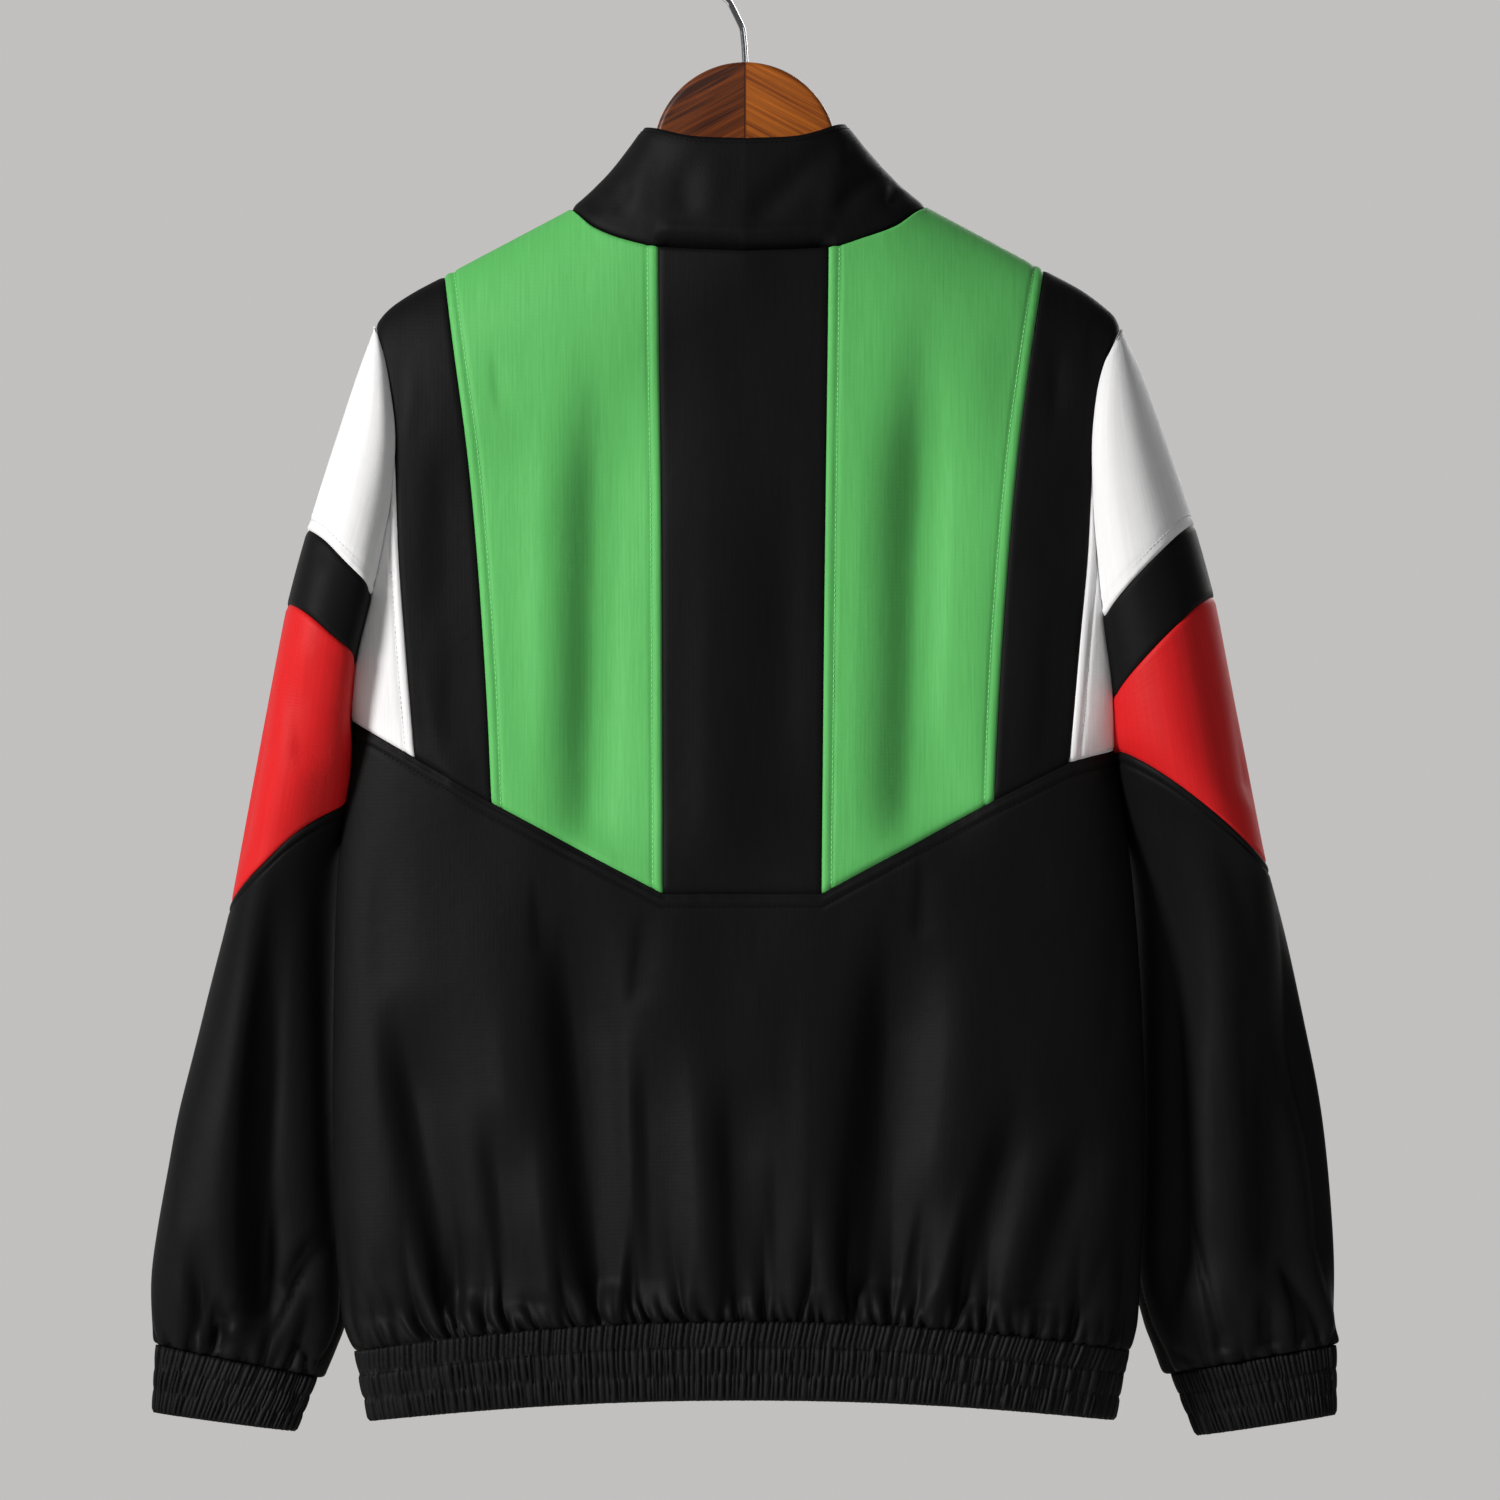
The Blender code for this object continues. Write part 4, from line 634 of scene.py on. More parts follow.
# %% [markdown]
# ## Cloth looks
# The jacket is woven polyester: fine, smooth filament yarn in a plain weave, with a broad, low shine. A
# stronger gloss would make thin cloth look like rubber. Real threads are about 0.2 mm apart, which a
# picture of the whole garment can't show, so the weave is drawn at 0.8 mm and very low. Long streaks along
# the warp and slow patches of tone and gloss keep a large dyed panel from looking like a flat sheet.

# %% Woven polyester
WEAVE = 0.0008  # metres between the drawn threads; the real ones are about 0.2 mm apart
WAVE_LENGTH = 0.314  # a Wave texture's bands are this far apart at scale 1
STREAKS = (900.0, 26.0, 1.0)  # across and along the warp: about 1 mm wide and 40 mm long
STREAK_WEIGHT = 0.25


def woven_polyester(name, colour, deep, roughness, sheen, level, weave_depth=0.00005):
    """Plain-woven filament polyester: a low satin gloss, hardly any sheen and a fine thread relief."""
    made, tree, shader = start_material(name)
    uv = add_node(tree, "ShaderNodeUVMap", {"uv_map": "weave"}).outputs[0]
    place = add_node(tree, "ShaderNodeTexCoord").outputs["Object"]
    patches = noise(tree, place, 14.0, 3.0)
    streak_place = add_node(tree, "ShaderNodeMapping", links={"Vector": uv}, Scale=STREAKS).outputs[0]
    streaks = noise(tree, streak_place, 1.0, 2.0)
    both = add_node(tree, "ShaderNodeMath", {"operation": "MULTIPLY_ADD"}, {0: patches, 2: streaks})
    both.inputs[1].default_value = STREAK_WEIGHT
    tone = add_node(
        tree, "ShaderNodeMapRange", links={"Value": both.outputs[0]}, From_Min=0.38, From_Max=0.86
    )
    dyed = add_node(tree, "ShaderNodeMix", {"data_type": "RGBA"}, {0: tone.outputs[0]})
    dyed.inputs[6].default_value, dyed.inputs[7].default_value = linear(deep), linear(colour)
    tree.links.new(dyed.outputs[2], shader.inputs["Base Color"])
    vary_roughness(tree, shader, patches, roughness - 0.05, roughness + 0.07)
    shader.inputs["Specular IOR Level"].default_value = level
    shader.inputs["Sheen Weight"].default_value = sheen
    shader.inputs["Sheen Roughness"].default_value = 0.45
    shader.inputs["Sheen Tint"].default_value = linear(colour)
    warp, weft = (
        add_node(
            tree, "ShaderNodeTexWave", {"bands_direction": way}, {"Vector": uv}, Scale=WAVE_LENGTH / WEAVE,
            Distortion=0.4,
        ).outputs["Fac"]
        for way in ("X", "Y")
    )
    cross = add_node(tree, "ShaderNodeMath", {"operation": "ADD"}, {0: warp, 1: weft}).outputs[0]
    add_relief(tree, shader, noise(tree, place, 120.0, 3.0), 0.35, 0.0006)  # the cloth's own soft crush
    add_relief(tree, shader, cross, 0.6, weave_depth)
    return made


print("the drawn threads are", WEAVE * 1000, "mm apart")

# %% [markdown]
# ## The dyes
# Each dye has two close tones that the streaks and patches move between. The blacks get hardly any specular
# light, since black cloth that shines turns grey under a large lamp. The zip's webbing is the roughest.

# %% Dye the cloth
# columns after the two colours: roughness, sheen, specular level
black_polyester = woven_polyester("black_woven_polyester", "#0d0d0e", "#09090a", 0.56, 0.0, 0.08)
black_shirring = woven_polyester("black_shirred_polyester", "#131314", "#0e0e0f", 0.56, 0.0, 0.085)
green_polyester = woven_polyester("green_woven_polyester", "#56ab5b", "#4da052", 0.56, 0.04, 0.2)
white_polyester = woven_polyester("white_woven_polyester", "#dcdcde", "#d2d3d5", 0.58, 0.02, 0.2)
red_polyester = woven_polyester("red_woven_polyester", "#c4181b", "#b61417", 0.56, 0.02, 0.16)
zip_webbing = woven_polyester("black_zip_webbing", "#161617", "#111112", 0.7, 0.02, 0.2, 0.00012)
LOOKS = {
    "black": (black_polyester, "black_cloth", "black"),
    "strip": (black_polyester, "black_cloth", "black"),
    "green": (green_polyester, "green_cloth", "green"),
    "white": (white_polyester, "white_cloth", "white"),
    "red": (red_polyester, "red_cloth", "black"),
}  # each look's material, colour slot and thread
print("cloth looks:", sorted({look[0].name for look in LOOKS.values()}))

# %% [markdown]
# ## The upper panels
# Above the yoke seam the back and the front have the same cut: a black strip at the shoulder, a green panel
# and a white side piece on each side of a black centre. The pieces share their seam lines, so each panel is
# laid out as four border lines in the flat: its top, its bottom, and the two seams at its sides.

# %% Lay out the upper panels
WHITE_TOP = 0.29  # share of the armhole's height where the white side piece starts


def seam_points(rows, side, z_top, z_bottom, count=160):
    z = np.linspace(z_top, z_bottom, count)
    return np.stack([sign(side) * curve(rows, z, side), z], axis=-1)


def yoke_corner(side, corner):
    row = YOKE[corner]
    return np.array([sign(side) * row[0 if side == LEFT else 2], row[1 if side == LEFT else 3]])


def upper_edges(face, side):
    """The flat borders of the green, black and white pieces of one side, and the centre seam."""
    s = sign(side)
    centre_x = float(curve(CENTRE_SEAM, -183.0, side))
    neck_x = NECK_POINT[side]
    strip_x = float(curve(STRIP_SEAM, -197.0, side))
    corners = [yoke_corner(side, i) for i in range(4)]
    centre = seam_points(CENTRE_SEAM, side, float(neck_z(face, side, centre_x)), corners[0][1])
    strip = seam_points(STRIP_SEAM, side, float(curve(SHOULDER_LINE, strip_x, side)), corners[1][1])
    centre[0, 0], strip[0, 0] = s * centre_x, s * strip_x
    centre[-1], strip[-1] = corners[0], corners[1]
    armhole = armhole_point(side, np.linspace(0.0, 1.0, 200))
    split = int(round(WHITE_TOP * 199))
    white = seam_points(WHITE_SEAM, side, armhole[split][1], corners[2][1])
    white[0], white[-1] = armhole[split], corners[2]
    neck_line = np.linspace(centre_x, neck_x, 60)
    neck = np.stack([s * neck_line, neck_z(face, side, neck_line)], axis=-1)
    shoulder_x = np.linspace(neck_x, strip_x, 60)
    shoulder = np.stack([s * shoulder_x, curve(SHOULDER_LINE, shoulder_x, side)], axis=-1)
    tip_x = np.linspace(strip_x, TIP[side][0], 40)
    tip = np.stack([s * tip_x, curve(SHOULDER_LINE, tip_x, side)], axis=-1)
    return {
        "green": (np.concatenate([neck, shoulder[1:]]), corners[0:2], centre, strip),
        "strip": (tip, corners[1:3], strip, np.concatenate([armhole[: split + 1], white[1:]])),
        "white": (np.repeat(white[:1], 2, axis=0), corners[2:4], white, armhole[split:]),
    }, centre


print("upper panels of one side:", list(upper_edges(1, LEFT)[0]))

# %% [markdown]
# ## Filling and sewing them
# A panel is filled in between its four borders and lifted to the body's surface. The rows lie closer at the
# shoulder, where the cloth turns over from the front to the back. The green panels are topstitched at both
# seams and the white ones at one, each in thread of its own colour.

# %% Fill and sew the upper panels
TOP_EASE = 1.5
FINE = {1: (1.7, 3.0), -1: (3.4, 3.8)}  # mm between the points across and down, on the back and on the front
STITCH_INSET = 6.5  # mm from the seam to its topstitching


def fill_panel(face, edges, wide, high, ease):
    """The panel's flat points and the same points on the body. The white piece's top is a single point."""
    top, bottom, first, end = edges
    is_corner = np.ptp(np.asarray(top), axis=0).max() == 0
    flat = coons(
        np.repeat(top[:1], wide, axis=0) if is_corner else resample(top, wide),
        resample(bottom, wide), resample(first, high, ease), resample(end, high, ease), ease,
    )
    return flat, body_point(face, flat)


def length_of(points):
    return float(np.linalg.norm(np.diff(np.asarray(points), axis=0), axis=1).sum())


def upper_piece(face, name, piece, edges):
    across, down = FINE[face]
    wide = int(max(length_of(edges[0]), length_of(edges[1])) / across) + 2
    high = int(max(length_of(edges[2]), length_of(edges[3])) / down) + 2
    flat, grid = fill_panel(face, edges, wide, high, 1.0 if piece == "white" else TOP_EASE)
    for _ in range(14):  # the body's side turns a corner at the underarm, which cloth bridges softly
        grid[1:-1, :, 1] += 0.5 * (0.5 * (grid[:-2, :, 1] + grid[2:, :, 1]) - grid[1:-1, :, 1])
    cloth = Cloth(f"{name}_cloth", grid, (0.0, 0.0, -400.0), flat)
    sides = ("first", "end")
    cloth.sew(("first", "end", "bottom") if piece == "white" else ("first", "end", "top", "bottom"))
    look, slot, thread = LOOKS[piece]
    if piece in ("green", "white"):
        for edge in sides if piece == "green" else ("first",):
            cloth.topstitch(edge, STITCH_INSET, thread)
    return finish_cloth(cloth, look, name)


print("topstitching lies", STITCH_INSET, "mm from its seam")

# %% [markdown]
# ## All upper panels
# One loop makes both faces. The back has a single centre panel, while the front has two, since it opens in
# the middle.

# %% Cut the upper panels
for face, word in ((1, "back"), (-1, "front")):
    middle = {}
    for side, side_word in SIDES:
        layout, middle[side] = upper_edges(face, side)
        for piece, edges in layout.items():
            upper_piece(face, f"{word}_{piece}_{side_word}", piece, edges)
    if face > 0:
        across = np.linspace(middle[LEFT][0][0], middle[RIGHT][0][0], 60)
        top = np.stack([across, by_side(across, lambda side: neck_z(1, side, across))], axis=-1)
        ends = (middle[LEFT][-1], middle[RIGHT][-1])
        upper_piece(1, "back_centre", "black", (top, ends, middle[LEFT], middle[RIGHT]))
    else:
        for side, side_word in SIDES:
            outer = middle[side]
            x = np.linspace(FRONT_OPENING, abs(outer[0][0]), 40)
            top = np.stack([sign(side) * x, neck_z(-1, side, x)], axis=-1)
            low = np.array([sign(side) * FRONT_OPENING, outer[-1][1]])
            inner = np.stack([top[0], low])
            upper_piece(-1, f"front_centre_{side_word}", "black", (top, (low, outer[-1]), inner, outer))
print(len(pieces), "upper pieces,", sum(len(p.data.polygons) for p in pieces.values()), "faces")

# %% [markdown]
# ## The lower body and its gathers
# Below the yoke seam one wide piece goes down to the hem band. It is cut wider than the elastic, so it is
# gathered into the band: short, narrow puckers at the seam, some of which run on upwards as soft folds.
# They are placed one by one from a seeded list, uneven in spacing, depth, reach and lean, because even ones
# look machine made.

# %% Gathers above an elastic
LONG_REACH = (26.0, 52.0)  # how far the long gathers run up, in mm
# mm between gathers, then the least and the most depth and reach, the share of long ones, and the width
BODY_GATHERS = (7.9, (5.2, 8.4), (7.0, 14.0), 0.25, (1.6, 2.4))
BODY_PUCKERS = (6.4, (1.6, 3.2), (3.0, 7.0), 0.0, (0.9, 1.4))


def gather_list(length, kind, seed):
    """Rows of (place, depth, reach, width, lean) along a seam of this length."""
    spacing, deep, reach, long_share, wide = kind
    chance = np.random.default_rng(seed)
    rows, place = [], 0.4 * spacing
    while place < length - 0.4 * spacing:
        far = chance.random() < long_share
        depth = chance.uniform(*deep) * (1.25 if far else 1.0)
        own_reach = chance.uniform(*(LONG_REACH if far else reach))
        rows.append((place, depth, own_reach, chance.uniform(*wide), chance.uniform(-0.35, 0.35)))
        place += spacing * chance.uniform(0.55, 1.5)
    return rows


def gather_depth(rows, along, above):
    """How deep the gathers' troughs are at a place along the seam and a height above it."""
    total = np.zeros_like(along)
    for place, depth, reach, width, lean in rows:
        spread = width + 0.11 * above
        centre = place + lean * above * np.exp(-above / 60)
        total += depth * np.exp(-above / reach) * np.exp(-(abs(along - centre) / spread) ** 1.5)
    return total * (1 - np.exp(-np.maximum(above, 0.0) / 1.2))


def gather(cloth, kinds, swell, swell_reach):
    """What to push the cloth by above its bottom seam: a swell between the gathers, less their troughs."""
    above = cloth.away["bottom"]
    along = np.repeat(cloth.away["first"][-1:], len(above), axis=0)
    length = float(along[0, -1])
    troughs = sum(gather_depth(gather_list(length, kind, seed), along, above) for kind, seed in kinds)
    return swell * np.exp(-above / swell_reach) * (1 - np.exp(-above / 2.5)) - troughs


print("gathers on a metre of seam:", len(gather_list(1000.0, BODY_GATHERS, 1)))

# %% [markdown]
# ## The lower back and the lower fronts
# The piece is filled in between the yoke seam, the hem and its sides, with its rows closer together at both
# ends, where the topstitching and the gathers are. It is lifted to the body, gathered, and sewn with two
# rows of topstitching along the yoke.

# %% Make the lower pieces
def hem_points(face, side, edge, count, from_x=0.0):
    """Evenly spread flat points along half of the hem band's edge, from the centre to the side."""
    width = float(curve(BODY_SIDE, hem_z(edge, HALF_HEM), side))
    x = from_x + (width - from_x) * np.sin(0.5 * math.pi * np.linspace(0.0, 1.0, 400))
    flat = np.stack([sign(side) * x, hem_z(edge, x)], axis=-1)
    run = run_of(smooth_body(face, flat))
    x = np.interp(np.linspace(0.0, run[-1], count), run, x)
    return np.stack([sign(side) * x, hem_z(edge, x)], axis=-1)


def side_points(side, count=120):
    z = np.linspace(UNDERARM[side][1], float(hem_z(0, HALF_HEM)), count)
    points = np.stack([sign(side) * curve(BODY_SIDE, z, side), z], axis=-1)
    points[0] = (sign(side) * UNDERARM[side][0], UNDERARM[side][1])
    return points


def lower_piece(face, name, top, hem, first, end, wide, high, seed):
    """Fill the piece, then gather it into the band."""
    sides = (resample(line, high, "ends") for line in (first, end))
    flat = coons(resample(top, wide), resample(hem, wide), *sides, "ends")
    grid = body_point(face, flat)
    cloth = Cloth(name, grid, (0.0, 0.0, -680.0), flat)
    near_zip = np.clip((abs(flat[..., 0]) - TAPE_WIDTH) / 15, 0.0, 1.0) if face < 0 else 1.0
    at_side = np.clip(abs(grid[..., 1]) / 20, 0.0, 1.0)
    gathers = gather(cloth, ((BODY_GATHERS, seed), (BODY_PUCKERS, seed + 7)), 6.5, 18.0)
    cloth.push(gathers * near_zip * at_side)
    cloth.sew(("first", "end", "top"))
    cloth.sew(("bottom",), 1.1, 1.2)
    for inset in (2.2, 8.0):
        cloth.topstitch("top", inset, "black", 0.12)
    return cloth


def yoke_line(side):
    return [yoke_corner(side, i) for i in range(4)]


BODY_FULLNESS = 1.25  # how much wider the lower pieces are cut than the band they are gathered into
top = np.array(yoke_line(LEFT)[::-1] + yoke_line(RIGHT))
hem = np.concatenate([hem_points(1, LEFT, 0, 300)[::-1], hem_points(1, RIGHT, 0, 300)[1:]])
cloth = lower_piece(1, "lower_back_cloth", top, hem, side_points(LEFT), side_points(RIGHT), 400, 116, 11)
finish_cloth(cloth, black_polyester, "lower_back", fullness=BODY_FULLNESS)
for side, word, seed in ((LEFT, "left", 23), (RIGHT, "right", 37)):
    start = np.array([sign(side) * FRONT_OPENING, yoke_corner(side, 0)[1]])
    hem = hem_points(-1, side, 0, 300, FRONT_OPENING)
    cloth = lower_piece(
        -1, f"lower_front_{word}_cloth", np.array([start] + yoke_line(side)), hem,
        np.stack([start, hem[0]]), side_points(side), 176, 92, seed,
    )
    finish_cloth(
        cloth, black_polyester, f"lower_front_{word}", fullness=BODY_FULLNESS
    )
print("gathered pieces:", [name for name in pieces if name.startswith("lower")])

# %% [markdown]
# ## Shirring
# The hem band and the cuffs are a double layer with elastic inside, sewn through in rows. When the elastic
# draws back, the cloth stands in narrow ribs about 3 mm apart. They lean a little, end at each row of
# stitches and start again beside it, so each row gets its own slightly shifted ribs over a low bulge.

# %% Ribs over elastic
def rib_places(length, spacing, seed):
    """The places of the valleys between ribs, unevenly spaced."""
    chance = np.random.default_rng(seed)
    steps = spacing * chance.uniform(0.62, 1.38, int(1.3 * length / spacing) + 4)
    places = np.concatenate([[0.0], np.cumsum(steps)])
    count = int(np.searchsorted(places, length))
    return places[: count + 1] * (length / places[count])


def shirr(cloth, spacing, height, casings, lean, seed, bulge=0.15, top_lean=0.0):
    """Push the ribs out of a grid whose rows run along the elastic, and note its rows of stitches.

    A casing is the strip between two rows of stitches. The ribs of the top casing may lean more than the
    others.
    """
    share = cloth.away["top"] / cloth.away["top"][-1:]
    along = np.repeat(cloth.away["first"][:1], len(share), axis=0)
    length = along[0, -1]
    band = np.clip((share * casings).astype(int), 0, casings - 1)
    inside = np.sin(math.pi * np.clip(share * casings - band, 0.0, 1.0))
    total = np.zeros_like(along)
    chance = np.random.default_rng(seed)
    places = rib_places(length, spacing, seed)
    for casing in range(casings):
        shift = chance.uniform(-0.35, 0.35, len(places)) * spacing
        shift[0] = shift[-1] = 0.0
        own = np.sort(places + (shift if casing else 0.0))
        tall = chance.uniform(0.55, 1.15, len(places))
        drift = lean * (share - 0.5) + 0.5 * np.sin(along / 31.0 + casing)
        if casing == 0:
            drift = drift + top_lean * (share * casings - 0.5)
        place = np.clip(along + drift, 0.0, length - 1e-6)
        index = np.clip(np.searchsorted(own, place, side="right") - 1, 0, len(own) - 2)
        part = (place - own[index]) / np.maximum(own[index + 1] - own[index], 0.2)
        rib = tall[index] * np.sqrt(np.abs(np.sin(math.pi * np.clip(part, 0.0, 1.0))))
        total = np.where(band == casing, rib, total)
    row_line = np.where((share > 0.02) & (share < 0.98), np.exp(-((inside / 0.22) ** 2)), 0.0)
    cloth.push(height * total * (0.86 + 0.14 * inside**0.6) + bulge * inside**0.5 - 1.6 - 0.45 * row_line)
    for row in range(1, casings):
        stitch_lines["black"].append(cloth.line("top", row / casings * float(cloth.away["top"][-1].mean())))


print("valleys on 100 mm of elastic:", len(rib_places(100, 3.3, 5)))

# %% [markdown]
# ## The hem band
# The band goes round the body from one front edge to the other, so it is one grid, made of four quarters
# between its top line and its bottom line. The elastic draws its lower edge up a little. The band is turned
# at the bottom, so that edge is rounded.

# %% Make the hem band
BAND_COLUMNS = 380  # on each quarter; about five to a rib
BAND_ROWS = 22
BAND_ROUND = 1010.0  # mm round the body
CASINGS = 3  # rows of elastic, with a row of stitches between each two
RIB_SPACING, RIB_HEIGHT = 3.3, 2.9
DOUBLED_FULLNESS = 1.45  # shirred cloth is cut this much longer than its drawn-in elastic
rows = []
for edge in (0, 1):
    quarters = [
        smooth_body(face, hem_points(face, side, edge, BAND_COLUMNS, FRONT_OPENING if face < 0 else 0.0))
        for face, side in ((-1, LEFT), (1, LEFT), (1, RIGHT), (-1, RIGHT))
    ]
    rows.append(
        np.concatenate([quarters[0], quarters[1][::-1][1:], quarters[2][1:], quarters[3][::-1][1:]])
    )
rows[0][:, 2] += 1.2  # the band reaches a little under the gathered piece
rows[1][:, 2] += 1.3  # the elastic draws its lower edge up
down = np.linspace(0.0, 1.0, BAND_ROWS)[:, None, None]
grid = rows[0][None] * (1 - down) + rows[1][None] * down
flat = np.stack([np.tile(np.linspace(0.0, BAND_ROUND, grid.shape[1]), (BAND_ROWS, 1)), grid[..., 2]], axis=-1)
band = Cloth("hem_band_cloth", grid, (0.0, 0.0, -855.0), flat)
shirr(band, RIB_SPACING, RIB_HEIGHT, CASINGS, lean=2.0, seed=5, top_lean=2.2)
finish_cloth(
    band, black_shirring, "hem_band", 2.4, ("bottom",),
    fullness=DOUBLED_FULLNESS,
)
print("hem band:", len(rib_places(BAND_ROUND, RIB_SPACING, 5)), "ribs round the body")

# %% [markdown]
# ## The sleeves
# A sleeve is one tube in four colours: a white cap, a black band, a red wedge and a long black lower part.
# Each row runs from the sleeve's inner line over the back, round the outer edge and back over the front.
# The rows slope, since the colour seams do, and the tube bends forward as an arm does.

# %% The sleeve's measures
# columns: z, x of the sleeve's outer edge on the left, on the right
SLEEVE_OUTER = (
    (-883, 355.8, 354.6), (-841, 354, 354.6), (-825, 356.5, 357), (-808, 357, 356.8),
    (-756, 349.8, 353.2), (-704, 339.6, 347.4), (-627, 321.5, 331.8), (-575, 308.5, 318.5),
    (-552, 304.2, 312), (-500, 294.3, 301.6), (-440, 282.9, 289.8), (-398, 274.9, 281.8),
    (-352, 262.6, 269.4), (-283, 240.2, 246.2), (-253, 230, 235.2), (-231.6, 222, 225),
    (-229.8, 221.4, 224.2),
)
# columns: z, x of the sleeve's inner edge on the left, on the right, below the underarm
SLEEVE_INNER = (
    (-895.2, 271.8, 271.2), (-860, 257.2, 256.8), (-842, 247.6, 247.6), (-826, 241.4, 240.6),
    (-793, 240.4, 233.6), (-742, 242.8, 234), (-685, 244, 234.4), (-598, 242.8, 232.4),
    (-570, 241.4, 230.4), (-515, 235.6, 222), (-483.6, 235, 222), (-465.6, 237, 220),
)
# The sleeve's rows. A row runs from the inner line round the outer edge and back. Its place on the inner line
# is the armhole share down to the underarm at 1, and then 1 more for each 100 mm further down.
# columns: place, z at the outer edge, half depth, shift to the front, how far the row bows upwards
SLEEVE_ROWS = (
    None,
    (
        (0.00, -229.8, 0, 0, 0), (0.12, -253, 6, 0, 1), (0.29, -283.5, 10, 0, 3),
        (0.55, -330, 17, 0, 5), (0.682, -352.8, 22, 0, 6), (0.857, -397.8, 31, 0, 7),
        (1.00, -441, 39, 0, 7), (1.49, -575.4, 46, -22, 8), (2.20, -642, 47, -36, 5),
        (3.20, -722, 46, -38, 3), (4.10, -787, 41, -38, 1), (4.60, -817, 31, -38, 0),
        (4.80, -830, 22, -38, 0), (4.948, -840.6, 14, -38, 0),
    ),
    (
        (0.00, -231.6, 0, 0, 0), (0.12, -255, 6, 0, 1), (0.29, -284, 10, 0, 3), (0.55, -327, 17, 0, 5),
        (0.683, -349.8, 22, 0, 6), (0.874, -393, 31, 0, 7), (1.02, -552, 42, -1, 8),
        (1.32, -570, 44, -15, 7.5), (1.86, -601, 46, -28, 6), (2.15, -627, 46, -32, 5),
        (3.00, -688, 46, -36, 3), (3.80, -757, 43, -37, 2), (4.35, -804, 36, -35, 1),
        (4.58, -825, 24, -34, 0), (4.744, -840.6, 14, -33, 0),
    ),
)
# Long troughs. columns: angle round the sleeve in degrees from the inner edge over the back, place of the
# top, place of the bottom, width in degrees, depth
SLEEVE_FOLDS = (
    None,
    ((88, 1.6, 4.7, 30, 4), (232, 1.9, 4.6, 34, 4), (300, 2.4, 4.7, 26, 3)),
    ((80, 2.2, 4.6, 30, 4), (118, 1.1, 2.2, 28, 3), (250, 1.6, 4.5, 34, 4)),
)
print("rows that shape each sleeve:", len(SLEEVE_ROWS[LEFT]), len(SLEEVE_ROWS[RIGHT]))

# %% [markdown]
# ## A row round the sleeve
# A row is an oval between the inner line and the outer edge: a sine gives its depth, and a bow lifts its
# middle where the seam slopes. Above the underarm it ends at the body's own surface, so that the cap meets
# the armhole. The long troughs are then pressed in towards the row's middle.

# %% Draw a row round the sleeve
def inner_line(side, place):
    """The sleeve's inner line: the armhole down to the underarm, then the sleeve's own inner edge."""
    if place <= 1:
        return armhole_point(side, np.array(place))
    z = UNDERARM[side][1] - 100.0 * (place - 1)
    return np.array([sign(side) * curve(SLEEVE_INNER, z, side), z])


def sleeve_row(side, place, count, folds=True):
    """One row round the sleeve, from the inner line over the back and round to the front."""
    outer_z, half_depth, shift, bow = (curve(SLEEVE_ROWS[side], place, column) for column in (1, 2, 3, 4))
    inner = inner_line(side, place)
    outer = np.array([sign(side) * curve(SLEEVE_OUTER, outer_z, side), outer_z])
    seam = float(body_depth(np.array(inner[0]), np.array(inner[1]))) if place < 1 else 0.0
    angle = np.linspace(0.0, 2 * math.pi, count)
    across = 0.5 * (1 - np.cos(angle))
    swell = np.sin(angle)
    flat = inner + (outer - inner) * across[:, None]
    flat[:, 1] += bow * np.abs(swell)
    back = np.where(angle <= math.pi, 1.0, -1.0)
    depth = shift + back * seam * np.sqrt(1 - across**2) + half_depth * swell
    row = np.stack([flat[:, 0], depth, flat[:, 1]], axis=-1)
    if folds:
        middle = row.mean(axis=0)
        for degrees, top, bottom, width, size in SLEEVE_FOLDS[side]:
            along = np.clip((place - top) / (bottom - top), 0.0, 1.0)
            trough = size * math.sin(math.pi * along) * np.exp(
                -(((np.degrees(angle) - degrees) / (0.5 * width)) ** 2)
            )
            way = middle - row
            row += trough[:, None] * way / np.maximum(np.linalg.norm(way, axis=1, keepdims=True), 1e-6)
    return row


print("the left sleeve is", round(float(np.ptp(sleeve_row(LEFT, 3.0, 90)[:, 1]))), "mm deep at the forearm")
